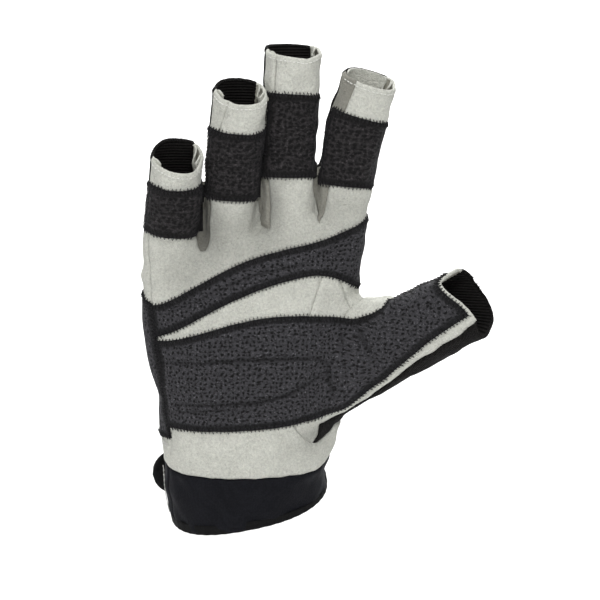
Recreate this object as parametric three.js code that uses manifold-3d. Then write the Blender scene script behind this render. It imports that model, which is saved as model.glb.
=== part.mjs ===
// A right-hand short-finger paddling glove, in the shape that a hand gives it.
// Sizes are in millimetres. The palm faces -Y, the fingers point up (+Z) and the thumb points to +X.
// The origin is the middle of the cuff's open end, where the wrist goes in.
import * as THREE from "three";
import { mergeVertices } from "three/addons/utils/BufferGeometryUtils.js";
import Module from "manifold-3d";

const wasm = await Module();
wasm.setup();

// Cloth thicknesses, and the gap that sewn pieces keep to each other.
const WALL = 1.5; // suede and stretch knit
const NEOPRENE = 2.6;
const PATCH = 1.0;
const FACING = 0.8;
const GAP = 0.3;
const TUCK = 0.4; // how far the finger fronts sink into the palm that they are one piece with

// How finely the curved walls are faceted.
const BODY_SIDES = 36;
const FINGER_SIDES = 18;
const FINGER_RINGS = 6;
const SQUARE = 2.4; // 2 would make the sections plain ovals
const FAR = 120; // past everything, for the cutting solids
const BELOW = -20; // under the hem, for the same
const FINEST = 0.05; // the cuts leave no detail smaller than this

const SEAM_BACK = 2; // the palm's suede reaches this far behind the middle of the hand
// Seams round a finger: degrees from the middle of its palm side, positive towards the thumb.
const SIDE_SEAM = -42; // front panel to side strip
const BACK_SEAM_LEFT = -90; // side strip to back
const BACK_SEAM_RIGHT = 140; // front panel to back
const BAND_FROM = -84;
const BAND_TO = 100;
// Seams round the thumb, positive towards its lower edge.
const THUMB_SEAM_LOW = 62;
const THUMB_SEAM_HIGH = -118;
const THUMB_PATCH_HIGH = -92;

/** Rows of numbers under named columns, as objects. */
const table = (columns, ...rows) =>
  rows.map((row) => Object.fromEntries(row.map((value, i) => [columns[i], value])));

// The hand's body, from the cuff's hem to the knuckles: the middle of each section, half its width,
// its depth to the palm and to the back, and how its plane rises towards the thumb and the back.
const BODY = table(
  ["z", "x", "y", "half", "palm", "back", "riseX", "riseY"],
  [0, 0, 0, 33, 25, 24, 0.2, 0.27],
  [19.8, -1.9, -4.5, 34, 24.5, 24, -0.02, 0.19],
  [28.2, 0.1, -6.5, 36.3, 24.5, 23.5, 0, 0.13],
  [45.8, 1.7, -9.5, 39.1, 22.5, 21, 0, 0.06],
  [63.2, 0.6, -11.5, 42, 19.5, 19.5, 0, 0],
  [80.4, 0.6, -12.5, 44.5, 17, 18, 0, 0],
  [97.7, 1.3, -13.5, 45, 15, 16.5, 0.08, 0],
  [108, 1.5, -14.5, 45.6, 13.6, 14, 0.18, 0],
  [115, 1.5, -15, 43.6, 12, 12.2, 0.25, 0],
  [118.5, 1.5, -15.3, 39, 9, 9.5, 0.28, 0],
);
const CUFF_TOP = BODY[1];
const CUFF_END = BODY[0];
const BINDING_HIGH = 3.2;
const BINDING_PROUD = 0.5;

// Each finger, from inside the palm to the middle of its open end.
const SECTION = ["x", "y", "z", "half", "deep"];
const FINGERS = [
  {
    name: "pinky",
    sections: table(
      SECTION,
      [-31, -13.5, 90, 10.8, 10],
      [-31.9, -15, 110.8, 11.9, 11],
      [-30.7, -20, 130.9, 11.6, 10.8],
      [-29, -25.5, 151, 11.1, 10.2],
    ),
    undercut: 20, // degrees that the open end is cut lower on the palm side
    band: [121.4, 141.9],
  },
  {
    name: "ring",
    sections: table(
      SECTION,
      [-8.6, -13.5, 100, 10.9, 10.8],
      [-7.6, -15, 118.4, 10.8, 10.8],
      [-5.9, -19.5, 147.7, 11.2, 10.8],
      [-2.7, -23.6, 176.9, 10.9, 10.2],
    ),
    undercut: 15,
    band: [134.2, 166.3],
  },
  {
    name: "middle",
    sections: table(
      SECTION,
      [16, -13.5, 100, 11.2, 10.8],
      [16.4, -14.8, 120.1, 11.1, 10.8],
      [17.9, -15.3, 157.8, 11.1, 10.6],
      [19.5, -16.2, 194.2, 11.7, 10.4],
    ),
    undercut: 9,
    band: [143, 178.3],
  },
  {
    name: "index",
    sections: table(
      SECTION,
      [34.4, -13.5, 92, 10, 9.6],
      [39.5, -15, 121.4, 10.5, 10.6],
      [43.6, -15, 153.4, 10.7, 10.5],
      [51, -17, 182.2, 10.9, 10.2],
    ),
    undercut: 10,
    band: [140, 169.1],
  },
];
const THUMB = {
  sections: table(
    SECTION,
    [21.8, -10, 49.3, 17, 14],
    [37.8, -13, 57.9, 16.8, 14.5],
    [53.6, -18, 67.3, 15.8, 13],
    [65.3, -22.5, 75.1, 15.3, 12.2],
    [76.4, -26.5, 82, 15.1, 11.8],
    [91.6, -32, 90.7, 15, 11.5],
  ),
  undercut: 16,
};
const FACING_DEEP = 24; // the index finger's inner facing, down from its open end

// The seam down the little finger's edge of the palm, where its side strip begins.
const EDGE_SEAM = table(
  ["z", "x"],
  [FAR, -41.2],
  [116, -41.2],
  [90.5, -40.3],
  [73.3, -38.2],
  [56.2, -35.7],
  [31, -32.8],
  [BELOW, -32],
);
// Outlines of what is sewn on the palm, seen from the palm side.
const PALM_BAND_OUTLINE = table(
  ["x", "z"],
  [-40, 89.2],
  [-34.9, 89.9],
  [-20.2, 98.6],
  [-3.4, 107.8],
  [13.4, 112.4],
  [30.2, 116.4],
  [42.8, 121.3],
  [54, 127],
  [54, 92],
  [47, 93.6],
  [38.6, 98.1],
  [30.2, 100.7],
  [21.8, 100.7],
  [9.2, 98.4],
  [-7.6, 92],
  [-24.4, 84.1],
  [-30.7, 80.5],
  [-38.1, 76.6],
);
const HEEL_PATCH_OUTLINE = table(
  ["x", "z"],
  [-38, 75],
  [-32.8, 75.7],
  [-20.2, 79.7],
  [-3.4, 83.7],
  [13.4, 85.3],
  [30.2, 84.7],
  [43.7, 83.3],
  [50.5, 85.6],
  [59.6, 91.4],
  [66, 115],
  [84, 119],
  [86.3, 101.6],
  [91.3, 90.4],
  [80.6, 83.5],
  [68, 76.5],
  [55.4, 67.2],
  [42.8, 55.8],
  [30.2, 47.5],
  [17.6, 41.2],
  [0.8, 37],
  [-20.2, 35.5],
  [-33.2, 35.6],
);
const GUSSET_OUTLINE = table(["x", "z"], [31.4, 103], [37, 103], [45.4, 80], [24.4, 80]);
const EDGE_PATCH_HIGH = 94;
const EDGE_PATCH_LOW = 31.5;

// The wrist strap crosses the back of the cuff, and its round end stands off at the little finger's side.
const STRAP_HIGH = 18;
const STRAP_THICK = 2.4;
const STRAP_LIFT = 10; // from the hem to the strap's middle
const STRAP_TILT = new THREE.Euler(0.2, -0.08, 0); // radians, with the wrist
const STRAP_FROM = 40; // degrees round the cuff, from the thumb side over the back
const STRAP_TO = 120;
const STRAP_STEP = 8;
const STRAP_FREE = 13; // straight stretch before the middle of the round end
const DISC_LIP = 0.2; // the round end is this much proud of the strap on both faces

/** A closed manifold solid from rings of points that run the same way round. */
function solidFromRings(rings) {
  const count = rings[0].length;
  const middle = (ring) =>
    ring.reduce((sum, p) => sum.add(p), new THREE.Vector3()).divideScalar(ring.length);
  const points = [...rings.flat(), middle(rings[0]), middle(rings.at(-1))];
  const bottom = rings.length * count;
  const top = bottom + 1;
  const last = (rings.length - 1) * count;
  const faces = [];
  for (let i = 0; i < count; i++) {
    const next = (i + 1) % count;
    for (let r = 0; r + 1 < rings.length; r++) {
      const [a, b] = [r * count + i, r * count + next];
      faces.push(a, b, b + count, a, b + count, a + count);
    }
    faces.push(bottom, next, i, top, last + i, last + next);
  }
  return new wasm.Manifold(
    new wasm.Mesh({
      numProp: 3,
      vertProperties: new Float32Array(points.flatMap((p) => p.toArray())),
      triVerts: new Uint32Array(faces),
    }),
  );
}

/** The solid of a three.js geometry, moved by a matrix. */
function solidFromGeometry(geometry, matrix) {
  const bare = geometry.clone().applyMatrix4(matrix);
  bare.deleteAttribute("normal");
  bare.deleteAttribute("uv");
  const merged = mergeVertices(bare, 1e-4);
  return new wasm.Manifold(
    new wasm.Mesh({
      numProp: 3,
      vertProperties: merged.attributes.position.array,
      triVerts: new Uint32Array(merged.index.array),
    }),
  );
}

const join = (solids) => solids.reduce((sum, solid) => sum.add(solid));
const without = (solid, others) => others.reduce((left, other) => left.subtract(other), solid);

/** A point on a squared oval, with its two quarter depths given separately. */
function ovalPoint(angle, half, front, back) {
  const [c, s] = [Math.cos(angle), Math.sin(angle)];
  const bulge = (v) => Math.sign(v) * Math.abs(v) ** (2 / SQUARE);
  return [half * bulge(c), (s < 0 ? front : back) * bulge(s)];
}

/** A row of the body's table carried on past the hem, so that a hollow runs out of it. */
function rowPastHem() {
  const [hem, next] = BODY;
  return Object.fromEntries(
    Object.keys(hem).map((key) => [key, hem[key] + (hem[key] - next[key]) / 2]),
  );
}

/** The hand's body, grown outwards by some distance. Past the hem it is a tool for cutting. */
function bodySolid(grow, pastHem = false) {
  const rows = pastHem ? [rowPastHem(), ...BODY] : BODY;
  const rings = rows.map((row) => {
    const lift = row === BODY.at(-1) ? grow : 0;
    return Array.from({ length: BODY_SIDES }, (_, i) => {
      const angle = (i / BODY_SIDES) * 2 * Math.PI;
      const [u, v] = ovalPoint(angle, row.half + grow, row.palm + grow, row.back + grow);
      return new THREE.Vector3(
        row.x + u,
        row.y + v,
        row.z + lift + u * row.riseX + v * row.riseY,
      );
    });
  });
  return solidFromRings(rings);
}

/** Frames along a finger: the middle, and its width, depth and length directions. */
function fingerFrames(finger, extra = 0) {
  const rows = finger.sections;
  const curve = new THREE.CatmullRomCurve3(
    rows.map((row) => new THREE.Vector3(row.x, row.y, row.z)),
    false,
    "catmullrom",
    0.5,
  );
  const frames = Array.from({ length: FINGER_RINGS }, (_, i) => {
    const at = i / (FINGER_RINGS - 1);
    const spot = at * (rows.length - 1);
    const low = Math.min(Math.floor(spot), rows.length - 2);
    const mix = (key) => THREE.MathUtils.lerp(rows[low][key], rows[low + 1][key], spot - low);
    const along = curve.getTangent(at);
    const wide = new THREE.Vector3(0, 1, 0).cross(along).normalize();
    return {
      middle: curve.getPoint(at),
      along,
      wide,
      deep: along.clone().cross(wide),
      half: mix("half"),
      thick: mix("deep"),
    };
  });
  if (extra > 0) {
    const end = frames.at(-1);
    frames.push({ ...end, middle: end.middle.clone().addScaledVector(end.along, extra) });
  }
  return frames;
}

const onFrame = (frame, u, v) =>
  frame.middle.clone().addScaledVector(frame.wide, u).addScaledVector(frame.deep, v);

/** The plane of a finger's open end, tipped so that the palm side is lower. */
function rimPlane(finger) {
  const end = fingerFrames(finger).at(-1);
  const tip = THREE.MathUtils.degToRad(finger.undercut);
  const normal = end.along
    .clone()
    .multiplyScalar(Math.cos(tip))
    .addScaledVector(end.deep, -Math.sin(tip));
  return { normal, offset: normal.dot(end.middle) };
}

const EXTRA = 7; // how far a finger runs past its open end before it is cut

function fingerSolid(finger, grow, cut = true) {
  const rings = fingerFrames(finger, EXTRA).map((frame) =>
    Array.from({ length: FINGER_SIDES }, (_, i) => {
      const angle = (i / FINGER_SIDES) * 2 * Math.PI;
      const depth = frame.thick + grow;
      return onFrame(frame, ...ovalPoint(angle, frame.half + grow, depth, depth));
    }),
  );
  const whole = solidFromRings(rings);
  if (!cut) return whole;
  const rim = rimPlane(finger);
  return whole.trimByPlane(rim.normal.clone().negate().toArray(), -rim.offset);
}

/** The wedge of space round a finger between two seam angles, less half a gap on both sides. */
function sector(finger, from, to) {
  const reach = 30;
  const steps = 5;
  const halfAngle = THREE.MathUtils.degToRad((to - from) / 2);
  const shift = GAP / 2 / Math.sin(halfAngle);
  const around = (degrees, distance) => {
    const angle = THREE.MathUtils.degToRad(degrees);
    return [Math.sin(angle) * distance, -Math.cos(angle) * distance];
  };
  const rings = fingerFrames(finger, EXTRA + 2).map((frame) => {
    const [du, dv] = around((from + to) / 2, shift);
    const rim = Array.from({ length: steps + 1 }, (_, i) => {
      const [u, v] = around(from + ((to - from) * i) / steps, reach);
      return onFrame(frame, u + du, v + dv);
    });
    return [onFrame(frame, du, dv), ...rim];
  });
  return solidFromRings(rings);
}

/** A prism along Y over an outline given by x and z. */
function prism(outline) {
  const shape = new THREE.Shape(outline.map((p) => new THREE.Vector2(p.x, p.z)));
  const geometry = new THREE.ExtrudeGeometry(shape, { depth: 2 * FAR, bevelEnabled: false });
  // The shape's plane becomes XZ, and its depth runs back along +Y.
  const turn = new THREE.Matrix4().makeRotationX(Math.PI / 2).setPosition(0, FAR, 0);
  return solidFromGeometry(geometry, turn);
}

/** Everything on the palm side of the body's two side seams, moved back by some distance. */
function palmSide(shift) {
  const line = [{ y: BODY[0].y, z: BELOW }, ...BODY, { y: BODY.at(-1).y, z: FAR * 2 }];
  const seam = line.map((row) => new THREE.Vector2(row.y + SEAM_BACK + shift, row.z));
  const shape = new THREE.Shape([
    new THREE.Vector2(-FAR, FAR * 2),
    new THREE.Vector2(-FAR, BELOW),
    ...seam,
  ]);
  const geometry = new THREE.ExtrudeGeometry(shape, { depth: 2 * FAR, bevelEnabled: false });
  // The shape is drawn in Y and Z, and its depth runs along X.
  const turn = new THREE.Matrix4().makeBasis(
    new THREE.Vector3(0, 1, 0),
    new THREE.Vector3(0, 0, 1),
    new THREE.Vector3(1, 0, 0),
  );
  turn.setPosition(-FAR, 0, 0);
  return solidFromGeometry(geometry, turn);
}

/** The plane of a body section: what is above it has a positive distance. */
function sectionPlane(row, lift = 0) {
  const normal = new THREE.Vector3(-row.riseX, -row.riseY, 1).normalize();
  return { normal, offset: normal.dot(new THREE.Vector3(row.x, row.y, row.z + lift)) };
}
const above = (solid, plane, gap = GAP / 2) =>
  solid.trimByPlane(plane.normal.toArray(), plane.offset + gap);
const below = (solid, plane, gap = GAP / 2) =>
  solid.trimByPlane(plane.normal.clone().negate().toArray(), -plane.offset + gap);

// The hollow for the hand, and the outer forms.
const fingerHollows = [...FINGERS, THUMB].map((finger) => fingerSolid(finger, -WALL, false));
const hollow = join([bodySolid(-WALL, true), ...fingerHollows]);
const bodyOuter = bodySolid(0);
const bodyClear = bodySolid(GAP);
const bodyTuck = bodySolid(-TUCK);
const cuffTop = sectionPlane(CUFF_TOP);

const frontOfBody = palmSide(-GAP / 2);
const frontWide = palmSide(GAP / 2);
const leftOfSeam = (shift) =>
  prism([
    { x: -FAR, z: FAR },
    ...EDGE_SEAM.map((row) => ({ x: row.x + shift, z: row.z })),
    { x: -FAR, z: BELOW },
  ]);

const handShell = above(bodyOuter.subtract(hollow), cuffTop);
const handBack = handShell.subtract(frontWide);
const handFront = handShell.intersect(frontOfBody);
const handEdge = handFront.intersect(leftOfSeam(-GAP / 2));
const handPalm = handFront.subtract(leftOfSeam(GAP / 2));

/** One finger's wall between two seams. */
function fingerWall(index, from, to) {
  const finger = FINGERS[index];
  return fingerSolid(finger, 0).subtract(hollow).intersect(sector(finger, from, to));
}
const others = (index, grow) =>
  FINGERS.filter((_, i) => Math.abs(i - index) === 1).map((finger) => fingerSolid(finger, grow));

const bodyBackZone = bodyClear.subtract(palmSide(-GAP));
const bodyFrontZone = bodyClear.intersect(palmSide(GAP));
const indexes = FINGERS.map((_, i) => i);

/** The palm: one panel of suede with the fronts of the four fingers. */
function palmPanel() {
  const fronts = indexes.map((i) =>
    without(fingerWall(i, SIDE_SEAM, BACK_SEAM_RIGHT), [bodyTuck, bodyBackZone]),
  );
  const gusset = prism(GUSSET_OUTLINE);
  const edgeZone = bodyClear.intersect(leftOfSeam(GAP / 2));
  return join([handPalm, ...fronts.map((front) => front.subtract(edgeZone))]).subtract(gusset);
}

/** The triangle of suede let into the palm above the thumb's crotch. */
function webGusset() {
  const [a, b, c, d] = GUSSET_OUTLINE;
  const inner = [
    { x: a.x + GAP, z: a.z - GAP },
    { x: b.x - GAP, z: b.z - GAP },
    { x: c.x - GAP, z: c.z + GAP },
    { x: d.x + GAP, z: d.z + GAP },
  ];
  return handPalm.intersect(prism(inner));
}

/** The strip of suede down the side of a finger. The little finger's runs on to the heel. */
function sidePanel(index) {
  const strip = fingerWall(index, BACK_SEAM_LEFT, SIDE_SEAM);
  if (index > 0) return without(strip, [bodyClear, ...others(index, GAP)]);
  const upper = without(strip, [bodyTuck, bodyBackZone]);
  const palmZone = bodyClear.subtract(leftOfSeam(-GAP / 2));
  return handEdge.add(upper.subtract(palmZone));
}

/** The stretch knit over the back of the hand and of the fingers. */
function backPanel() {
  const backs = indexes.map((i) => {
    const wall = fingerWall(i, BACK_SEAM_RIGHT, 360 + BACK_SEAM_LEFT);
    return without(wall, [bodyTuck, bodyFrontZone, ...others(i, GAP)]);
  });
  return join([handBack, ...backs]);
}

/** The suede facing inside the back of the index finger, at its open end. */
function indexFacing() {
  const finger = FINGERS[3];
  const tube = fingerSolid(finger, -WALL - GAP).subtract(
    fingerSolid(finger, -WALL - GAP - FACING, false),
  );
  const rim = rimPlane(finger);
  const kept = tube.trimByPlane(rim.normal.toArray(), rim.offset - FACING_DEEP);
  return kept.intersect(sector(finger, BACK_SEAM_RIGHT - 4, 360 + BACK_SEAM_LEFT + 4));
}

/** One of the thumb's two panels, clear of the palm. */
function thumbPanel(from, to) {
  const wall = fingerSolid(THUMB, 0).subtract(hollow).subtract(bodyClear);
  return largest(above(wall, cuffTop).intersect(sector(THUMB, from, to)));
}

/** The largest body of a solid: a cut can leave crumbs. */
function largest(solid) {
  return solid.decompose().reduce((best, one) => (one.volume() > best.volume() ? one : best));
}

/** A band of textured cloth round the front of a finger. */
function fingerBand(index) {
  const finger = FINGERS[index];
  const sleeve = fingerSolid(finger, GAP + PATCH).subtract(fingerSolid(finger, GAP, false));
  const plane = (z) => {
    const frames = fingerFrames(finger);
    const over = frames.findIndex((frame) => frame.middle.z > z);
    const [low, high] = [frames[over - 1], frames[over]];
    const mix = (z - low.middle.z) / (high.middle.z - low.middle.z);
    const middle = low.middle.clone().lerp(high.middle, mix);
    return { normal: low.along, offset: low.along.dot(middle) };
  };
  const [low, high] = finger.band.map(plane);
  const ring = below(above(sleeve, low, 0), high, 0);
  const cut = ring.intersect(sector(finger, BAND_FROM, BAND_TO));
  return largest(without(cut, others(index, 2 * GAP + PATCH)));
}

/** A sheet of textured cloth lying on the outer form, within an outline. */
function palmPatch(outline, zone, digit) {
  const outside = bodySolid(GAP + PATCH);
  const outer = digit ? outside.add(fingerSolid(digit, GAP + PATCH)) : outside;
  const inner = [bodySolid(GAP, true), ...[...FINGERS, THUMB].map((each) => fingerSolid(each, GAP, false))];
  return largest(without(outer.intersect(prism(outline)).intersect(zone), inner));
}

/** The patch round the little finger's edge of the palm. */
function edgePatch() {
  const outline = [
    { x: -FAR, z: EDGE_PATCH_HIGH },
    { x: -FAR, z: EDGE_PATCH_LOW },
    ...EDGE_SEAM.filter((row) => row.z >= EDGE_PATCH_LOW - 1 && row.z < EDGE_PATCH_HIGH)
      .reverse()
      .map((row) => ({ x: row.x - GAP, z: row.z })),
    { x: -40.6, z: EDGE_PATCH_HIGH },
  ];
  return palmPatch(outline, frontOfBody);
}

/** The neoprene cuff, between its binding and the palm. */
function cuff() {
  const ring = bodySolid(0).subtract(bodySolid(-NEOPRENE, true));
  return above(below(ring, cuffTop), sectionPlane(CUFF_END, BINDING_HIGH));
}

/** The folded tape that binds the cuff's open end. */
function cuffBinding() {
  const ring = bodySolid(BINDING_PROUD).subtract(bodySolid(-NEOPRENE - BINDING_PROUD, true));
  return below(ring, sectionPlane(CUFF_END, BINDING_HIGH));
}

/** The strap over the back of the wrist, with its round end standing off. */
function wristStrap() {
  const [wide, deep] = [CUFF_TOP.half + GAP, CUFF_TOP.back + GAP];
  const inner = [];
  for (let degrees = STRAP_FROM; degrees <= STRAP_TO; degrees += STRAP_STEP) {
    const angle = THREE.MathUtils.degToRad(degrees);
    inner.push(new THREE.Vector2(...ovalPoint(angle, wide, deep, deep)));
  }
  const [before, last] = inner.slice(-2);
  const away = last.clone().sub(before).normalize();
  const outward = new THREE.Vector2(away.y, -away.x);
  const end = last.clone().addScaledVector(away, STRAP_FREE);
  inner.push(end);
  const outer = inner.map((p, i) => {
    const after = inner[Math.min(i + 1, inner.length - 1)];
    const ahead = after.clone().sub(inner[Math.max(i - 1, 0)]).normalize();
    return new THREE.Vector2(p.x + ahead.y * STRAP_THICK, p.y - ahead.x * STRAP_THICK);
  });
  const shape = new THREE.Shape([...outer, ...inner.reverse()]);
  const band = new THREE.ExtrudeGeometry(shape, { depth: STRAP_HIGH, bevelEnabled: false });
  band.translate(0, 0, -STRAP_HIGH / 2);
  const disc = new THREE.CylinderGeometry(STRAP_HIGH / 2, STRAP_HIGH / 2, STRAP_THICK + 2 * DISC_LIP, 24);
  const middle = end.clone().addScaledVector(outward, STRAP_THICK / 2);
  const face = new THREE.Matrix4()
    .makeBasis(
      new THREE.Vector3(away.x, away.y, 0),
      new THREE.Vector3(outward.x, outward.y, 0),
      new THREE.Vector3(0, 0, 1),
    )
    .setPosition(middle.x, middle.y, 0);
  const place = new THREE.Matrix4()
    .makeRotationFromEuler(STRAP_TILT)
    .setPosition(CUFF_TOP.x / 2, CUFF_TOP.y / 2, STRAP_LIFT);
  const whole = solidFromGeometry(band, place).add(
    solidFromGeometry(disc, place.clone().multiply(face)),
  );
  const bound = below(bodySolid(BINDING_PROUD + GAP, true), sectionPlane(CUFF_END, BINDING_HIGH), -GAP);
  return largest(without(whole, [bodySolid(GAP), bound]));
}

// What each cloth looks like.
const cloth = (color, roughness) => new THREE.MeshStandardMaterial({ color, roughness, metalness: 0 });
const MATERIALS = {
  suede: cloth(0xc1c3bd, 0.95),
  knit: cloth(0x121110, 0.9),
  textured: cloth(0x333234, 0.8),
  neoprene: cloth(0x1d1d21, 0.7),
  tape: cloth(0x191919, 0.75),
};

const glove = new THREE.Group();

function addPiece(name, solid, material) {
  const { vertProperties, triVerts } = solid.simplify(FINEST).getMesh();
  const geometry = new THREE.BufferGeometry();
  geometry.setAttribute("position", new THREE.BufferAttribute(new Float32Array(vertProperties), 3));
  geometry.setIndex(new THREE.BufferAttribute(new Uint32Array(triVerts), 1));
  geometry.computeVertexNormals();
  const mesh = new THREE.Mesh(geometry, MATERIALS[material]);
  mesh.name = name;
  glove.add(mesh);
}

addPiece("palm_panel", palmPanel(), "suede");
addPiece("web_gusset", webGusset(), "suede");
FINGERS.forEach((finger, i) => addPiece(`${finger.name}_side_panel`, sidePanel(i), "suede"));
addPiece("back_panel", backPanel(), "knit");
addPiece("index_facing", indexFacing(), "suede");
addPiece("thumb_front", thumbPanel(THUMB_SEAM_HIGH, THUMB_SEAM_LOW), "suede");
addPiece("thumb_back", thumbPanel(THUMB_SEAM_LOW, 360 + THUMB_SEAM_HIGH), "knit");
FINGERS.forEach((finger, i) => addPiece(`${finger.name}_band`, fingerBand(i), "textured"));
addPiece("palm_band", palmPatch(PALM_BAND_OUTLINE, frontOfBody, FINGERS[3]), "textured");
const thumbReach = fingerSolid(THUMB, 2 * WALL, false);
const thumbFront = sector(THUMB, THUMB_PATCH_HIGH, THUMB_SEAM_LOW);
const heelZone = frontOfBody.subtract(thumbReach).add(thumbFront);
addPiece("heel_patch", palmPatch(HEEL_PATCH_OUTLINE, heelZone, THUMB), "textured");
addPiece("edge_patch", edgePatch(), "textured");
addPiece("cuff", cuff(), "neoprene");
addPiece("cuff_binding", cuffBinding(), "tape");
addPiece("wrist_strap", wristStrap(), "neoprene");

export default glove;
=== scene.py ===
import collections
import math

import bpy
import numpy as np
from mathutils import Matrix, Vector
from mathutils.kdtree import KDTree


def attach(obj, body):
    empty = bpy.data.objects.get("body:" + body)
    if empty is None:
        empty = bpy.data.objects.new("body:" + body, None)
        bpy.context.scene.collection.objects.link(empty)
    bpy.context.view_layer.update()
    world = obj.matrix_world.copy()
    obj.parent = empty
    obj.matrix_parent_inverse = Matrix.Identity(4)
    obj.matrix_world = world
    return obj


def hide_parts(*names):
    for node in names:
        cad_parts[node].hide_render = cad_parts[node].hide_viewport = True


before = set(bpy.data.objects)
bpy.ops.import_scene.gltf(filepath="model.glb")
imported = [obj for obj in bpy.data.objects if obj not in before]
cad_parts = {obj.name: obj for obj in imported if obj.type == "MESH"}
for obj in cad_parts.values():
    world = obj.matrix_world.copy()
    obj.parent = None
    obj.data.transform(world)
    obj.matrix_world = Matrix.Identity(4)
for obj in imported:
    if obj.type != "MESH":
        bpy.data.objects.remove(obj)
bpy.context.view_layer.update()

# The form that the hand gives the glove
# Every panel is cut from one skin. It starts as flat cloth rolled into sleeves, one for the
# hand and one for each finger, which are joined and smoothed. Sizes are in millimetres.
MM = 0.001
SIDES = 72
FRAMES = 48
SQUARE = 2.4
BODY = np.array([
    # z, x, y, half width, depth to the palm, depth to the back, rise to the thumb, rise to the back
    (0, 0, 0, 33, 25, 24, 0.2, 0.3),
    (9, -1.6, -2.2, 33.7, 24.9, 24, 0.1, 0.23),
    (20.3, -1.2, -4.5, 34.9, 24.5, 24, 0.015, 0.19),
    (28.2, 0, -6.5, 37, 24.5, 23.5, 0, 0.13),
    (45.8, 1.7, -9.5, 39.1, 22.5, 21, 0, 0.06),
    (63.2, 0.6, -11.5, 42, 19.5, 19.5, 0, 0),
    (80.4, 0.6, -12.5, 44.5, 17, 18, 0, 0),
    (97.7, 1.3, -13.5, 45, 15, 16.5, 0.08, 0),
    (108, 0.7, -14.5, 45.6, 13.6, 14, 0.18, 0),
    (115, 0.7, -15, 43.6, 12, 12.2, 0.25, 0),
    (118.5, 1.5, -15.3, 39, 9, 9.5, 0.28, 0),
])
# Down the middle of each digit, from inside the palm to its open end: x, y, z, half width, half depth.
DIGITS = {
    "pinky": np.array([
        (-31, -13.5, 90, 10.8, 10),
        (-31.9, -15, 110.8, 11.9, 11),
        (-30.2, -21, 130.9, 11.1, 10.8),
        (-28.4, -28.5, 151, 10.7, 10.2),
    ]),
    "ring": np.array([
        (-8.6, -13.5, 100, 10.9, 10.8),
        (-7.6, -15.5, 118.5, 10.8, 10.8),
        (-5.6, -19.8, 148, 11, 10.6),
        (-2.5, -27.2, 177.5, 11, 10),
    ]),
    "middle": np.array([
        (16, -13.5, 100, 11.2, 10.8),
        (16.4, -14.8, 120.1, 11.1, 10.8),
        (17.1, -14.4, 157.6, 11.1, 10.4),
        (19.2, -13.2, 193.8, 11.7, 10),
    ]),
    "index": np.array([
        (34.4, -13.5, 92, 10, 9.6),
        (38.9, -15, 121.4, 10.3, 10.6),
        (42.6, -15, 153.4, 11.6, 10.5),
        (50.9, -17, 182.2, 11.5, 10.2),
    ]),
    "thumb": np.array([
        (21.8, -10, 49.3, 17, 14),
        (37.8, -13, 57.9, 16.8, 14.5),
        (53.6, -18, 67.3, 15.8, 13),
        (65.3, -22.5, 75.1, 15.7, 12.2),
        (76.4, -26.5, 82, 15.9, 11.8),
        (91.6, -32, 91.2, 15, 11.5),
    ]),
    # The webs at the roots of the thumb and the fingers, which have no open end.
    "thumb_web": np.array([
        (34, -15, 77, 9, 10),
        (44, -16, 80.5, 9.5, 9),
        (53, -18, 83, 8.4, 8),
        (63, -21.5, 87, 6, 6.5),
    ]),
    "pinky_web": np.array([
        (-19.5, -12.5, 100, 4, 7),
        (-18.5, -12.5, 115, 3.5, 6),
        (-18.3, -14, 130, 3, 5),
        (-17.6, -15, 139, 2.5, 4.5),
    ]),
    "ring_web": np.array([
        (4.5, -12.5, 108, 4, 7),
        (4.8, -12.5, 125, 3.5, 5.6),
        (5.6, -14, 139, 2.6, 4.6),
    ]),
    "middle_web": np.array([
        (29.5, -12.5, 108, 5, 7),
        (29.8, -12.5, 125, 3.8, 5.6),
        (30.1, -12.5, 140, 3.2, 4.8),
        (30.6, -12.5, 147, 2.4, 4.2),
    ]),
}
UNDERCUT = {"pinky": 20, "ring": 15, "middle": 9, "index": 10, "thumb": 16}
PAST_RIM = 9
# How far each open end runs past an even cut: places across its palm side with the length at
# each, and the length at its back.
RIM_LIFT = {
    "pinky": ([-0.9, 0, 0.9], [2.4, 1.9, 0.8], 0),
    "ring": ([-0.9, 0, 0.9], [2.4, 0.4, 0.8], 0),
    "middle": ([-0.9, 0, 0.5, 0.9], [-0.5, -1.3, -1.8, -0.3], 0.4),
    "index": ([-0.9, 0, 0.9], [0.4, 0, 0], 0),
    "thumb": (
        [-1, -0.9, -0.6, -0.3, 0, 0.2, 0.35, 0.6, 0.95],
        [-3.4, -2.3, 1, 3.6, 5.2, 5.5, 5.3, 3.2, 1.2],
        0.8,
    ),
}
CUFF_ROW = 2
VOXEL = 0.8
# How near a point is to a digit that it lies on, where 1 is the digit's own surface, and the value
# of a field far outside what it marks.
NEAR = 1.6
NEAR_THUMB = 1.7
OUTSIDE = -10.0


def along_rows(rows, at):
    """The rows of a table read between themselves, on a smooth curve through them."""
    at = np.clip(np.asarray(at, float), 0, len(rows) - 1)
    low = np.minimum(at.astype(int), len(rows) - 2)
    t = (at - low)[:, None]
    a = rows[np.maximum(low - 1, 0)]
    b = rows[low]
    c = rows[low + 1]
    d = rows[np.minimum(low + 2, len(rows) - 1)]
    bend = (-a + 3 * b - 3 * c + d) * t**3 + (2 * a - 5 * b + 4 * c - d) * t**2
    return (bend + (c - a) * t + 2 * b) / 2


def squared(angle):
    """How far across and how deep a squared oval of half size 1 is at an angle."""
    cosine = np.cos(angle)
    sine = np.sin(angle)
    power = 2 / SQUARE
    return np.sign(cosine) * np.abs(cosine) ** power, np.sign(sine) * np.abs(sine) ** power


def oval(half, front, back, sides=SIDES):
    """Points of a squared oval, where front and back are its two depths."""
    across, through = squared(np.arange(sides) / sides * math.tau)
    return half * across, np.where(through < 0, front, back) * through


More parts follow.
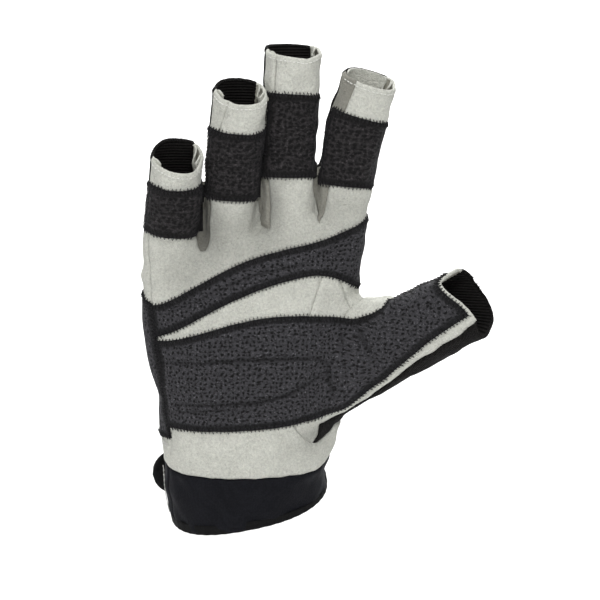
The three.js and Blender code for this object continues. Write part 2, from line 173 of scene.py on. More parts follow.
def ring_at(row, grow=0, sides=SIDES):
    """Points round one section of the hand, grown by some distance."""
    z, x, y, half, front, back, rise_x, rise_y = row
    across, deep = oval(half + grow, front + grow, back + grow, sides)
    return np.stack([x + across, y + deep, z + across * rise_x + deep * rise_y], 1)


def unit(rows):
    """The rows of a table, each made one long."""
    return rows / np.linalg.norm(rows, axis=1)[:, None]


def digit_frames(name):
    """Middles along a digit, with its width, depth and length directions and its half sizes."""
    rows = DIGITS[name]
    spots = along_rows(rows, np.linspace(0, len(rows) - 1, FRAMES))
    middle = spots[:, :3]
    along = unit(np.gradient(middle, axis=0))
    wide = unit(np.cross((0, 1, 0), along))
    return middle, wide, np.cross(along, wide), along, spots[:, 3], spots[:, 4]


def digit_rings(name):
    """Rings of points round a digit or a web, with one past a digit's open end."""
    middle, wide, deep, along, half, thick = digit_frames(name)
    rings = []
    for i in range(0, len(middle), 4):
        u, v = oval(half[i], thick[i], thick[i])
        rings.append(middle[i] + u[:, None] * wide[i] + v[:, None] * deep[i])
    if name in UNDERCUT:
        rings.append(rings[-1] + along[-1] * PAST_RIM)
    return rings


def sleeve(name, rings):
    """A flat cloth rolled into a closed sleeve through rings of points."""
    bpy.ops.object.select_all(action="DESELECT")
    bpy.ops.mesh.primitive_grid_add(x_subdivisions=SIDES, y_subdivisions=len(rings) - 1, size=1)
    rolled = bpy.context.object
    rolled.name = name
    closed = np.array([np.concatenate([ring, ring[:1]]) for ring in rings]) * MM
    rolled.data.vertices.foreach_set("co", closed.ravel())
    bpy.ops.object.mode_set(mode="EDIT")
    bpy.ops.mesh.select_all(action="SELECT")
    bpy.ops.mesh.remove_doubles(threshold=1e-6)
    bpy.ops.mesh.fill_holes(sides=0)
    bpy.ops.mesh.normals_make_consistent(inside=False)
    bpy.ops.object.mode_set(mode="OBJECT")
    return rolled


def select_only(*pieces):
    """Selects some pieces and nothing else, with the first of them active."""
    bpy.ops.object.select_all(action="DESELECT")
    for each in pieces:
        each.select_set(True)
    bpy.context.view_layer.objects.active = pieces[0]


def apply_all(piece):
    """Applies every modifier on a piece."""
    select_only(piece)
    for modifier in list(piece.modifiers):
        bpy.ops.object.modifier_apply(modifier=modifier.name)


sections = along_rows(BODY, np.linspace(0, len(BODY) - 1, 40))
sleeves = [sleeve("hand_form", [ring_at(row) for row in sections])]
sleeves += [sleeve(f"{name}_form", digit_rings(name)) for name in DIGITS]
select_only(*sleeves)
bpy.ops.object.join()
form = sleeves[0]
bpy.ops.object.transform_apply(location=True, rotation=True, scale=True)
remesh = form.modifiers.new("skin", "REMESH")
remesh.mode = "VOXEL"
remesh.voxel_size = VOXEL * MM
apply_all(form)


def read_points(piece):
    """A mesh's points in millimetres."""
    flat = np.empty(len(piece.data.vertices) * 3)
    piece.data.vertices.foreach_get("co", flat)
    return flat.reshape(-1, 3) / MM


def step_up(value, start, end):
    """0 before start, 1 after end, and smooth between."""
    t = np.clip((value - start) / (end - start), 0, 1)
    return t * t * (3 - 2 * t)


# The crotches between the fingers, the thumb's root and the heel are smoothed more than the rest:
# x, z, how much a step up counts, how much smoother, and how far out that starts and stops fading.
SOFT_PLACES = [
    (-17.8, 140, 0.8, 0.4, 3, 7), (5.4, 140, 0.8, 0.4, 3, 7), (30.6, 148, 0.8, 0.4, 3, 7),
    (46, 76, 1, 0.6, 12, 24), (38, 50, 1, 1, 8, 18),
]
SOFT_KNUCKLES = 0.7
points = read_points(form)
soft = step_up(points[:, 2], 100, 108) * (1 - step_up(points[:, 2], 115, 122)) * SOFT_KNUCKLES
for x, z, squash, much, start, end in SOFT_PLACES:
    far = np.hypot(points[:, 0] - x, (points[:, 2] - z) * squash)
    soft = np.maximum(soft, much - much * step_up(far, start, end))
for group_name, weight, turns in (("soft", soft, 70), ("all", np.ones(len(points)), 10)):
    group = form.vertex_groups.new(name=group_name)
    for level in range(1, 11):
        chosen = np.flatnonzero(np.round(weight * 10).astype(int) == level)
        group.add(chosen.tolist(), level / 10, "REPLACE")
    smooth = form.modifiers.new(group_name, "SMOOTH")
    smooth.vertex_group = group_name
    smooth.factor = 0.5
    smooth.iterations = turns
apply_all(form)


def triangles(piece):
    """A mesh's faces as triangles."""
    piece.data.calc_loop_triangles()
    flat = np.empty(len(piece.data.loop_triangles) * 3, int)
    piece.data.loop_triangles.foreach_get("vertices", flat)
    return flat.reshape(-1, 3)


def normals_of(points, tris):
    """The normal at each point of a cloth."""
    a, b, c = (points[tris[:, k]] for k in range(3))
    face = np.cross(b - a, c - a)
    total = np.zeros_like(points)
    for k in range(3):
        np.add.at(total, tris[:, k], face)
    return total / np.maximum(np.linalg.norm(total, axis=1), 1e-12)[:, None]


def place_in(name, points):
    """Where points lie in a digit: across and deep in millimetres, its half sizes there, and length."""
    middle, wide, deep, along, half, thick = digit_frames(name)
    chord = middle[-1] - middle[0]
    chord /= np.linalg.norm(chord)
    reach = (middle - middle[0]) @ chord
    length = (points - middle[0]) @ chord
    columns = np.concatenate([middle, wide, deep, half[:, None], thick[:, None]], axis=1)
    here = np.stack([np.interp(length, reach, column) for column in columns.T], 1)
    past = np.clip(length - reach[-1], 0, None)
    offset = points - here[:, :3] - past[:, None] * along[-1]
    u = (offset * here[:, 3:6]).sum(1)
    v = (offset * here[:, 6:9]).sum(1)
    return u, v, here[:, 9], here[:, 10], length


def above_rim(name, points):
    """How far points lie past the plane of a digit's even cut, which is lower on the palm side."""
    middle, wide, deep, along, half, thick = digit_frames(name)
    tip = math.radians(UNDERCUT[name])
    normal = along[-1] * math.cos(tip) - deep[-1] * math.sin(tip)
    return (points - middle[-1]) @ normal


def above_row(row, points):
    """How far points lie above the plane of a section of the hand."""
    z, x, y, half, front, back, rise_x, rise_y = row
    normal = np.array((-rise_x, -rise_y, 1))
    normal /= np.linalg.norm(normal)
    return (points - (x, y, z)) @ normal


def split(cloth, mark, field):
    """Cuts a cloth's triangles along the line where field(points) is nought, and marks its far side."""
    points = cloth["points"]
    tris = cloth["tris"]
    value = field(points)
    value[np.abs(value) < 0.1] = 0
    ends = np.stack([tris, np.roll(tris, -1, axis=1)], 2)
    crossed = value[ends[:, :, 0]] * value[ends[:, :, 1]] < 0
    pairs = np.sort(ends[crossed], axis=1)
    unique, inverse = np.unique(pairs, axis=0, return_inverse=True)
    share = (value[unique[:, 0]] / (value[unique[:, 0]] - value[unique[:, 1]]))[:, None]
    new_points = points[unique[:, 0]] * (1 - share) + points[unique[:, 1]] * share
    cut_at = np.full(crossed.shape, -1)
    cut_at[crossed] = inverse.ravel() + len(points)
    count = crossed.sum(1)
    out = [tris[count == 0]]
    parent = [np.flatnonzero(count == 0)]
    for edge in range(3):
        b = (edge + 1) % 3
        c = (edge + 2) % 3
        one = np.flatnonzero((count == 1) & crossed[:, edge])
        m = cut_at[one, edge]
        out.append(np.stack([tris[one, edge], m, tris[one, c]], 1))
        out.append(np.stack([m, tris[one, b], tris[one, c]], 1))
        parent += [one, one]
        two = np.flatnonzero((count == 2) & ~crossed[:, edge])
        m = cut_at[two, b]
        n = cut_at[two, c]
        out += [
            np.stack([tris[two, edge], tris[two, b], m], 1),
            np.stack([tris[two, edge], m, n], 1),
            np.stack([n, m, tris[two, c]], 1),
        ]
        parent += [two, two, two]
    value = np.concatenate([value, np.zeros(len(new_points))])
    cloth["points"] = np.concatenate([points, new_points])
    cloth["tris"] = np.concatenate(out)
    parent = np.concatenate(parent)
    cloth["marks"] = {name: old[parent] for name, old in cloth["marks"].items()}
    cloth["marks"][mark] = value[cloth["tris"]].sum(1) > 0
    return cloth


def trim(cloth, keep):
    """Keeps some of a cloth's triangles, and only the points that they use."""
    tris = cloth["tris"][keep]
    used, inverse = np.unique(tris, return_inverse=True)
    rest = {name: old[keep] for name, old in cloth["marks"].items()}
    return {"points": cloth["points"][used], "tris": inverse.reshape(-1, 3), "marks": rest}


def cut_to(cloth, fields):
    """The part of a cloth that lies inside every field."""
    cloth = {"points": cloth["points"], "tris": cloth["tris"], "marks": {}}
    for field in fields:
        cloth = split(cloth, "in", field)
        cloth = trim(cloth, cloth["marks"]["in"])
    return cloth


def digit_of(points):
    """The digit that each point lies nearest to, by its number, how near, and the margin to the next."""
    near = []
    for name in UNDERCUT:
        u, v, half, thick, length = place_in(name, points)
        near.append(np.hypot(u / half, v / thick) + np.where(length < 0, 1, 0))
    first, second = np.sort(near, axis=0)[:2]
    return np.argmin(near, axis=0), first, np.maximum((second - first) * 8, 0.11)


def rim_lift(name, across, through):
    """How far a digit's open end runs past an even cut, round its oval."""
    places, lengths, back = RIM_LIFT[name]
    front = np.interp(across, places, lengths)
    mix = step_up(through, -0.5, 0.3)
    return front * (1 - mix) + back * mix


def past_rims(points):
    """How far points lie past the open end of the digit that they are on."""
    digit, near, margin = digit_of(points)
    value = np.full(len(points), OUTSIDE)
    for i, name in enumerate(UNDERCUT):
        on = (digit == i) & (near < NEAR)
        u, v, half, thick, length = place_in(name, points[on])
        value[on] = above_rim(name, points[on]) - rim_lift(name, u / half, v / thick)
    return value


skin = {"points": read_points(form), "tris": triangles(form), "marks": {}}
bpy.data.objects.remove(form)
skin = split(skin, "past", past_rims)
skin = trim(skin, ~skin["marks"]["past"])
hand = cut_to(skin, [lambda p: above_row(BODY[CUFF_ROW], p)])

# The seams
# The panels are sewn together along seams, right sides together. Each seam is a line on the skin,
# given as how far points lie past it, and the skin is cut along it.
KNUCKLE_Z = {"pinky": (100, 111), "ring": (111, 121), "middle": (121, 122), "index": (122, 108)}
SIDE_SEAM_BACK = 2
BACK_SEAM_RIGHT = math.radians(140)
BACK_SEAM_LEFT = {"pinky": 0.32, "ring": 0.34, "middle": 0.11, "index": 0.14}
# Down the thumb: length, and how steeply its lower seam turns towards the palm side.
THUMB_SEAM = np.array([
    (18, 0.6), (28, 0.62), (41.6, 0.87), (63, 1.12), (68, 1.25), (78, 1.3), (80, 1.45), (84.5, 1.69),
    (88, 2.1),
])
THUMB_SEAM_TOP = 0.5
THUMB_START = 5
THUMB_ROOT = 1.5
# Between two fingers: height, left and right edge of the strip of suede that shows there.
STRIPS = {
    "ring": np.array([(111.6, -19.4, -17.8), (113, -20, -17), (132, -20.4, -15.2), (139, -20.5, -15)]),
    "middle": np.array([(120.8, 5.6, 8), (122, 5, 8.7), (131, 4.8, 8.8), (138, 4.6, 9)]),
    "index": np.array([(122, 29.6, 29.6), (136.5, 27.6, 33), (147, 27.3, 34)]),
}
# Down the side of a finger: how far from its open end, and the seam's place across its half width.
SIDE_SEAM = {
    "ring": ([-30, -10, 0], [0.72, 0.6, 0.39]),
    "middle": ([-40, -15, 0], [0.72, 0.63, 0.6]),
    "index": ([-35, -12, 0], [0.72, 0.57, 0.51]),
}
EDGE_SEAM = np.array([(-20, -32), (31, -32.8), (56.2, -35.7), (73.3, -38.2), (90.5, -40.3), (116, -41.2)])
GUSSET = np.array([(31.4, 103), (37, 103), (45.4, 80), (24.4, 80)])
# The thumb's front ends in a flap on the heel, with a wedge of its knit back beside it. They share
# the flap's lower edge.
FLAP_EDGE = [(26.6, 30.6), (27.4, 30.7), (29.3, 34), (29.7, 38.7), (34.4, 40), (37.8, 41), (42.7, 44.4)]
FLAP = np.array([
    (19.1, 41.5), (19.1, 39.9), (20.6, 36.2), (23.7, 32.9), *FLAP_EDGE, (47, 50), (30, 54), (19, 48),
])
WEDGE = np.array([
    *FLAP_EDGE, (48, 47.6), (48, 40), (38.5, 38), (36.5, 36.7), (34.8, 34.4), (31.9, 32), (28.9, 30.2),
])


def body_at(points):
    """The columns of the hand's table at each point's height."""
    return [np.interp(points[:, 2], BODY[:, 0], column) for column in BODY.T]


def body_middle(points):
    """The depth of the hand's middle at each point's height."""
    return body_at(points)[2]


def behind_sides(points):
    """How far points lie behind the seams down the sides of the hand."""
    return points[:, 1] - body_middle(points) - SIDE_SEAM_BACK


def behind(points):
    """How far points lie behind the seams round the knit back."""
    value = behind_sides(points)
    digit, near, margin = digit_of(points)
    for i, name in enumerate(KNUCKLE_Z):
        on = digit == i
        u, v, half, thick, length = place_in(name, points[on])
        right = math.cos(BACK_SEAM_RIGHT) * u + math.sin(BACK_SEAM_RIGHT) * v
        rim_z = DIGITS[name][-1, 2]
        forward = 0.07 + (BACK_SEAM_LEFT[name] - 0.07) * step_up(points[on, 2], rim_z - 40, rim_z - 22)
        wedge = np.minimum(v + forward * thick, right)
        low = np.where(u < 0, *KNUCKLE_Z[name])
        mix = step_up(points[on, 2], low - 1, low + 12)
        wedge = np.sign(wedge) * np.minimum(np.abs(wedge), margin[on])
        value[on] = value[on] * (1 - mix) + wedge * mix
    return value


def right_of_edge(points):
    """How far points lie on the palm's side of the seam down the little finger's edge."""
    return points[:, 0] - np.interp(points[:, 2], EDGE_SEAM[:, 0], EDGE_SEAM[:, 1])


def in_strip(name, points):
    """How far points lie into the strip down a finger's side, left of the seam to its front."""
    digit, near, margin = digit_of(points)
    on = digit == list(KNUCKLE_Z).index(name)
    value = np.full(len(points), OUTSIDE)
    u, v, half, thick, length = place_in(name, points[on])
    z = points[on, 2]
    if name == "pinky":
        line = np.interp(z, [110, 122, 141], [0.86, 0.8, 1.02])
        value = -right_of_edge(points)
        mix = step_up(z, 108, 122)
        value[on] = value[on] * (1 - mix) + (-line * half - u) * mix
        return value
    low, high = STRIPS[name][[0, -1], 0]
    line = np.interp(above_rim(name, points[on]), *SIDE_SEAM[name])
    left, right = (np.interp(points[:, 2], STRIPS[name][:, 0], STRIPS[name][:, k]) for k in (1, 2))
    web = np.minimum(points[:, 0] - left, right - points[:, 0])
    web = np.where((points[:, 2] > low) & (np.abs(points[:, 0] - left) < 9), web, OUTSIDE)
    value[on] = -line * half - u
    value = np.where(on, np.minimum(value, margin), -margin)
    mix = step_up(points[:, 2], high - 5, high + 4)
    return web * (1 - mix) + value * mix


def to_line(flat, a, b):
    """The place along a line nearest to each flat point, from 0 at a to 1 at b, and how far away it is."""
    edge = b - a
    t = np.clip(((flat - a) @ edge) / (edge @ edge), 0, 1)
    return t, np.linalg.norm(flat - a - t[:, None] * edge, axis=1)


def in_outline(outline, points):
    """How far points lie inside an outline that is drawn on the palm, in x and z."""
    flat = points[:, [0, 2]]
    best = np.full(len(points), 1e9)
    inside = np.zeros(len(points), bool)
    for a, b in zip(outline, np.roll(outline, -1, axis=0)):
        best = np.minimum(best, to_line(flat, a, b)[1])
        if a[1] != b[1]:
            spans = (flat[:, 1] > min(a[1], b[1])) & (flat[:, 1] <= max(a[1], b[1]))
            at = a[0] + (flat[:, 1] - a[1]) / (b[1] - a[1]) * (b[0] - a[0])
            inside ^= spans & (at > flat[:, 0])
    return np.where(inside, best, -best)


def off_body(points):
    """How far points stand out of the hand's own form, which is where the thumb begins."""
    z, x, y, half, front, back, rise_x, rise_y = body_at(points)
    deep = np.where(points[:, 1] < y, front, back)
    across = np.abs(points[:, 0] - x) / half
    through = np.abs(points[:, 1] - y) / deep
    return ((across**SQUARE + through**SQUARE) ** (1 / SQUARE) - 1) * 25


def in_thumb(points):
    """Where points lie in the thumb, across, deep and along it, and whether they are near enough to it."""
    u, v, half, thick, length = place_in("thumb", points)
    return u, v, length, (np.hypot(u / half, v / thick) < NEAR_THUMB) & (length > THUMB_START)


def on_thumb(points):
    """How far points lie past the seam round the root of the thumb."""
    u, v, length, near = in_thumb(points)
    return np.where(near, off_body(points) - THUMB_ROOT, OUTSIDE)


def behind_thumb(points):
    """How far points lie behind the thumb's two seams."""
    u, v, length, near = in_thumb(points)
    steep = np.where(u > 0, np.interp(length, *THUMB_SEAM.T), THUMB_SEAM_TOP)
    return np.where(near, (v + steep * u) / np.sqrt(1 + steep**2), OUTSIDE)


def under_thumb(points):
    """How far points lie into the knit below the thumb's root, on the side of the hand."""
    x, y, z = points.T
    return np.min([y + 20.5, z - 37.2, x - 31, 58 - z, body_middle(points) + 4 - y], axis=0)


def on_palm(outline, points):
    """How far points on the palm side lie inside an outline."""
    return np.where(points[:, 1] < body_middle(points), in_outline(outline, points), OUTSIDE)


hand = split(hand, "thumb", on_thumb)
hand = split(hand, "thumb_back", behind_thumb)
hand = split(hand, "back", behind)
for finger in KNUCKLE_Z:
    hand = split(hand, finger, lambda p, name=finger: in_strip(name, p))
for shape, outline in (("gusset", GUSSET), ("flap", FLAP), ("wedge", WEDGE)):
    hand = split(hand, shape, lambda p, edge=outline: on_palm(edge, p))
hand = split(hand, "under", under_thumb)

PANELS = ["palm", "gusset", "pinky", "ring", "middle", "index", "back", "thumb", "thumb_back"]
marks = hand["marks"]
label = np.zeros(len(hand["tris"]), int)
label[marks["gusset"]] = PANELS.index("gusset")
for finger in KNUCKLE_Z:
    label[marks[finger]] = PANELS.index(finger)
label[marks["back"]] = PANELS.index("back")
label[marks["thumb"]] = PANELS.index("thumb")
label[marks["flap"]] = PANELS.index("thumb")
label[marks["thumb"] & marks["thumb_back"]] = PANELS.index("thumb_back")
label[marks["wedge"] | (marks["under"] & (label != PANELS.index("back")))] = PANELS.index("thumb_back")


def edges_of(tris):
    """Each edge of a cloth once, with the two triangles beside it, or -1 at an open edge."""
    ends = np.sort(np.stack([tris, np.roll(tris, -1, axis=1)], 2).reshape(-1, 2), axis=1)
    unique, inverse = np.unique(ends, axis=0, return_inverse=True)
    inverse = inverse.ravel()
    owner = np.repeat(np.arange(len(tris)), 3)
    order = np.argsort(inverse, kind="stable")
    first = np.searchsorted(inverse[order], np.arange(len(unique)))
    count = np.bincount(inverse, minlength=len(unique))
    one = owner[order[first]]
    two = np.where(count > 1, owner[order[np.minimum(first + 1, len(order) - 1)]], -1)
    return unique, one, two


def islands_of(count, pairs):
    """The number of the island that each of some things is on, from the pairs that touch."""
    links = collections.defaultdict(list)
    for a, b in pairs.tolist():
        links[a].append(b)
        links[b].append(a)
    island = np.full(count, -1)
    number = 0
    for start in range(count):
        if island[start] >= 0:
            continue
        island[start] = number
        stack = [start]
        while stack:
            for other in links[stack.pop()]:
                if island[other] < 0:
                    island[other] = number
                    stack.append(other)
        number += 1
    return island


CRUMB = 60


def tidy_crumbs(tris, label):
    """Gives small loose islands of one panel to the panel round them."""
    edges, one, two = edges_of(tris)
    touching = np.stack([one, two], 1)[two >= 0]
    alike = label[touching[:, 0]] == label[touching[:, 1]]
    island = islands_of(len(tris), touching[alike])
    borders = touching[~alike]
    borders = np.concatenate([borders, borders[:, ::-1]])
    for number in np.flatnonzero(np.bincount(island) < CRUMB):
        inside = island == number
        around = label[borders[inside[borders[:, 0]], 1]]
        around = around[around != label[inside][0]]
        if len(around):
            label[inside] = np.bincount(around).argmax()
    return label


label = tidy_crumbs(hand["tris"], label)


def nearness(points, targets):
    """How far the nearest target is from each point, and which one it is."""
    tree = KDTree(len(targets))
    for i, spot in enumerate(targets):
        tree.insert(spot, i)
    tree.balance()
    found = [tree.find(spot) for spot in points]
    return np.array([each[2] for each in found]), np.array([each[1] for each in found])


def along_edges(points, edges):
    """Spots on edges, close enough together to measure from."""
    ends = points[edges]
    spots = [ends[:, 0] * (1 - t) + ends[:, 1] * t for t in (0.25, 0.75)]
    return np.concatenate([ends.reshape(-1, 3), *spots])


# Creases that the patches have kept from the hand. Each is a line of x and z on the palm, with
# its depth and its width.
WRINKLES = [
    (((-36, 64.5), (-19.4, 65.2), (-2.9, 66.9), (16.3, 67.2), (28.7, 66.8), (34.2, 64.5)), 0.5, 0.9),
    (((-30.4, 47.1), (-16.6, 47.8), (4, 48.9), (16.3, 51.9), (24.6, 56.5), (34.2, 61.7)), 0.5, 0.9),
    (((-31, 43.8), (-16, 45.4), (-2, 46.4)), 0.3, 0.8),
    (((33, 64.5), (34.5, 57), (35.5, 50.5)), 0.35, 1.2),
    (((45, 80), (49, 74.5), (52, 67.5)), 0.35, 1.5),
    (((38.4, 78.8), (39.6, 70.3)), 0.3, 1.4),
    (((-34, 85.5), (-19.4, 91.9), (-7, 98), (6.2, 103), (21.9, 106.3), (38, 112.8)), 0.3, 0.7),
]
# Shallow hollows of the palm: x, z, width and depth.
HOLLOWS = [(-14, 121, 7, 0.7), (10, 131, 6, 0.7), (3, 114, 15, 1.3), (-28, 102, 8, 0.5), (24, 28, 7, 0.5)]
# Painted shade on the suede, in the palm's hollows and on the left of the finger roots: x, z, widths in x
# and z, and how much darker.
PAINTED_SHADE_SPOTS = [
    (-15, 122, 7, 15, 0.42), (9, 133, 6.5, 15, 0.5), (2, 114, 25, 14, 0.27), (-26, 103, 10, 10, 0.24),
    (37, 127, 13, 14, 0.24), (28, 27, 14, 8, 0.17), (29, 35, 6, 5, 0.4), (-35, 28, 7, 6, 0.1),
]
RIPPLES = np.random.default_rng(7)
RIPPLE_COUNT = 26
RIPPLE_HIGH = 0.007
RIPPLE_WAYS = unit(RIPPLES.normal(size=(RIPPLE_COUNT, 3)))
RIPPLE_LONG = RIPPLES.uniform(5, 17, RIPPLE_COUNT)
RIPPLE_SHIFT = RIPPLES.uniform(0, math.tau, RIPPLE_COUNT)


def creases(points):
    """How deep the creases are at each point, in millimetres."""
    flat = points[:, [0, 2]]
    front = points[:, 1] < body_middle(points) - 4
    total = np.zeros(len(points))
    for line, depth, wide in WRINKLES:
        line = np.array(line, float)
        best = np.full(len(points), 1e9)
        along = np.zeros(len(points))
        for i, (a, b) in enumerate(zip(line, line[1:])):
            t, far = to_line(flat, a, b)
            along = np.where(far < best, (i + t) / (len(line) - 1), along)
            best = np.minimum(best, far)
        ends = np.sin(np.clip(along, 0.04, 0.96) * math.pi) ** 0.4
        total += front * depth * ends * np.exp(-((best / wide) ** 2))
    return total


def sag(points):
    """How far the cloth's soft ripples and creases lift it, in millimetres."""
    lift = np.zeros(len(points))
    for way, long, shift in zip(RIPPLE_WAYS, RIPPLE_LONG, RIPPLE_SHIFT):
        lift += np.sin(points @ way / long * math.tau + shift) * long
    lift *= 0.3 + 0.7 * step_up(points[:, 0], -43, -34)
    for x, z, wide, depth in HOLLOWS:
        far = np.hypot(points[:, 0] - x, points[:, 2] - z)
        lift -= (points[:, 1] < body_middle(points)) * depth / RIPPLE_HIGH * np.exp(-((far / wide) ** 2))
    return lift * RIPPLE_HIGH - creases(points)


def painted_shade(points):
    """How much painted shade darkens the suede at each point, on the palm side."""
    total = np.zeros(len(points))
    for x, z, wide, high, depth in PAINTED_SHADE_SPOTS:
        far = ((points[:, 0] - x) / wide) ** 2 + ((points[:, 2] - z) / high) ** 2
        total = 1 - (1 - total) * (1 - depth * np.exp(-far))
    return np.where(points[:, 1] < body_middle(points) + 2, total, 0)


# The cloth puffs up beside a seam and sinks into it. At an open end it rolls in, and puffs up again
# before the groove of its stitches.
SEAM_PUFF = 0.12
SEAM_GROOVE = 0.5
HEM_ROLL = 0.45
HEM_PUFF = 0.16
HEM_GROOVE = 0.14
edges, one, two = edges_of(hand["tris"])
normals = normals_of(hand["points"], hand["tris"])
seam_edges = edges[(two >= 0) & (label[one] != label[two])]
seam_far = nearness(hand["points"], along_edges(hand["points"], seam_edges))[0]
hem_far = nearness(hand["points"], along_edges(hand["points"], edges[two < 0]))[0]
lift = sag(hand["points"])
faint = step_up(hand["points"][:, 2], 28, 38) * 0.7 + 0.3
faint = np.where(hand["points"][:, 0] < -25, faint, 1.2)
puff = SEAM_PUFF * np.exp(-((seam_far - 1.6) ** 2))
lift += faint * (puff - SEAM_GROOVE * np.exp(-((seam_far / 0.75) ** 2)))
lift -= HEM_ROLL * np.clip(1 - hem_far / 1.1, 0, 1) ** 2
groove = HEM_GROOVE * np.exp(-(((hem_far - 2.6) / 0.5) ** 2))
lift += HEM_PUFF * np.exp(-((hem_far - 1.5) ** 2) * 2) - groove
hand["points"] = hand["points"] + normals * lift[:, None]
hand_normals = normals_of(hand["points"], hand["tris"])

# The suede panels
# Goat suede, about a millimetre and a half thick, sewn inside out and turned, so that the seams
# lie in grooves. The open ends are folded in and stitched down.
SUEDE = (0.63, 0.635, 0.575, 1)
# The suede made darker, as painted shade for the strips between the fingers.
SUEDE_SHADED = (0.27, 0.265, 0.23, 1)
SUEDE_INSIDE = (0.36, 0.35, 0.30, 1)
WALL = 1.3


def begin_pattern(name, colour, **numbers):
    """A new group of shader nodes for a cloth, with what it is given and the place on the piece."""
    tree = bpy.data.node_groups.new(name, "ShaderNodeTree")
    inputs = [("Colour", "NodeSocketColor", colour)]
    inputs += [(key, "NodeSocketFloat", value) for key, value in numbers.items()]
    for key, kind, value in inputs:
        socket = tree.interface.new_socket(name=key, in_out="INPUT", socket_type=kind)
        socket.default_value = value
    tree.interface.new_socket(name="Colour", in_out="OUTPUT", socket_type="NodeSocketColor")
    for key in ("Roughness", "Height"):
        tree.interface.new_socket(name=key, in_out="OUTPUT", socket_type="NodeSocketFloat")
    given = tree.nodes.new("NodeGroupInput").outputs
    return tree, given, add_node(tree, "ShaderNodeTexCoord").outputs["Object"]


def end_pattern(tree, given, factor, rough, height):
    """Gives out a group's colour made lighter or darker by a factor, its roughness and its height."""
    out = tree.nodes.new("NodeGroupOutput").inputs
    tree.links.new(shade_of(tree, given["Colour"], factor), out["Colour"])
    tree.links.new(rough, out["Roughness"])
    tree.links.new(height, out["Height"])
    return tree


def add_node(tree, kind, values=None, **settings):
    """A node with its settings, and values for its inputs by name or number."""
    node = tree.nodes.new(kind)
    for key, value in settings.items():
        setattr(node, key, value)
    for key, value in (values or {}).items():
        node.inputs[key].default_value = value
    return node


def noise_of(tree, place, scale, detail, rough=0.55):
    """Noise on the piece's own place, where scale is in lumps a metre."""
    noise = add_node(tree, "ShaderNodeTexNoise", {"Scale": scale, "Detail": detail, "Roughness": rough})
    tree.links.new(place, noise.inputs["Vector"])
    return noise.outputs["Fac"]


def math_of(tree, operation, *values):
    """A sum on sockets and numbers."""
    node = add_node(tree, "ShaderNodeMath", operation=operation)
    for i, value in enumerate(values):
        if isinstance(value, (int, float)):
            node.inputs[i].default_value = value
        else:
            tree.links.new(value, node.inputs[i])
    return node.outputs[0]


def range_of(tree, value, low, high, to_low, to_high):
    """A socket's range turned into another, and held within it."""
    values = {"From Min": low, "From Max": high, "To Min": to_low, "To Max": to_high}
    node = add_node(tree, "ShaderNodeMapRange", values)
    tree.links.new(value, node.inputs["Value"])
    return node.outputs["Result"]


def shade_of(tree, colour, factor):
    """A colour made lighter or darker by a factor."""
    node = add_node(tree, "ShaderNodeVectorMath", operation="SCALE")
    tree.links.new(colour, node.inputs[0])
    tree.links.new(factor, node.inputs["Scale"])
    return node.outputs["Vector"]


def attribute_of(tree, name):
    """A number kept on the piece's points."""
    return add_node(tree, "ShaderNodeAttribute", attribute_name=name).outputs["Fac"]


def suede_nap_and_shade():
    """Short brushed suede: pale and dark flecks, broad cloudy rubbing and a fine furry height, darkened by
    the painted shade kept on the points.
    """
    tree, given, place = begin_pattern("suede nap", SUEDE, Fleck=0.1)
    clouds = range_of(tree, noise_of(tree, place, 110, 5, 0.65), 0.3, 0.7, -0.4, 0.4)
    grain = range_of(tree, noise_of(tree, place, 1000, 3, 0.7), 0.3, 0.7, -1, 1)
    fur = range_of(tree, noise_of(tree, place, 2600, 2, 0.7), 0.25, 0.75, -1, 1)
    both = math_of(tree, "ADD", math_of(tree, "ADD", clouds, grain), fur)
    factor = math_of(tree, "MULTIPLY_ADD", both, given["Fleck"], 1.0)
    # Painted shade: the colour is darker where the points carry it.
    factor = math_of(tree, "MULTIPLY", factor, math_of(tree, "SUBTRACT", 1.0, attribute_of(tree, "painted_shade")))
    height = math_of(tree, "MULTIPLY_ADD", fur, 0.5, grain)
    return end_pattern(tree, given, factor, range_of(tree, grain, -1, 1, 0.86, 1), height)


SUEDE_NAP_AND_SHADE = suede_nap_and_shade()


def cloth_material(name, group, colour, bump=0.3, sheen=0.0, tint=(1, 1, 1, 1), gloss=0.25, **group_values):
    """A cloth material around one of the texture groups."""
    material = bpy.data.materials.new(name)
    material.use_nodes = True
    tree = material.node_tree
    tree.nodes.clear()
    shader = add_node(tree, "ShaderNodeBsdfPrincipled")
    shader.inputs["Specular IOR Level"].default_value = gloss
    shader.inputs["Sheen Weight"].default_value = sheen
    shader.inputs["Sheen Roughness"].default_value = 0.5
    shader.inputs["Sheen Tint"].default_value = tint
    out = add_node(tree, "ShaderNodeOutputMaterial")
    tree.links.new(shader.outputs["BSDF"], out.inputs["Surface"])
    pattern = add_node(tree, "ShaderNodeGroup", node_tree=group)
    pattern.inputs["Colour"].default_value = colour
    for key, value in group_values.items():
        pattern.inputs[key].default_value = value
    tree.links.new(pattern.outputs["Colour"], shader.inputs["Base Color"])
    tree.links.new(pattern.outputs["Roughness"], shader.inputs["Roughness"])
    relief = add_node(tree, "ShaderNodeBump", {"Strength": bump, "Distance": 0.0003})
    tree.links.new(pattern.outputs["Height"], relief.inputs["Height"])
    tree.links.new(relief.outputs["Normal"], shader.inputs["Normal"])
    return material


SUEDE_OUT = cloth_material("pale suede", SUEDE_NAP_AND_SHADE, SUEDE, 0.75, 0.1, Fleck=0.17)
# The same suede with painted shade, for the finger sides.
SUEDE_WITH_PAINTED_SHADE = cloth_material("suede of the finger sides, with painted shade", SUEDE_NAP_AND_SHADE, SUEDE_SHADED, 0.75, 0.1, Fleck=0.17)
SUEDE_IN = cloth_material("inside of the suede", SUEDE_NAP_AND_SHADE, SUEDE_INSIDE, 0.5, 0.1, Fleck=0.12)


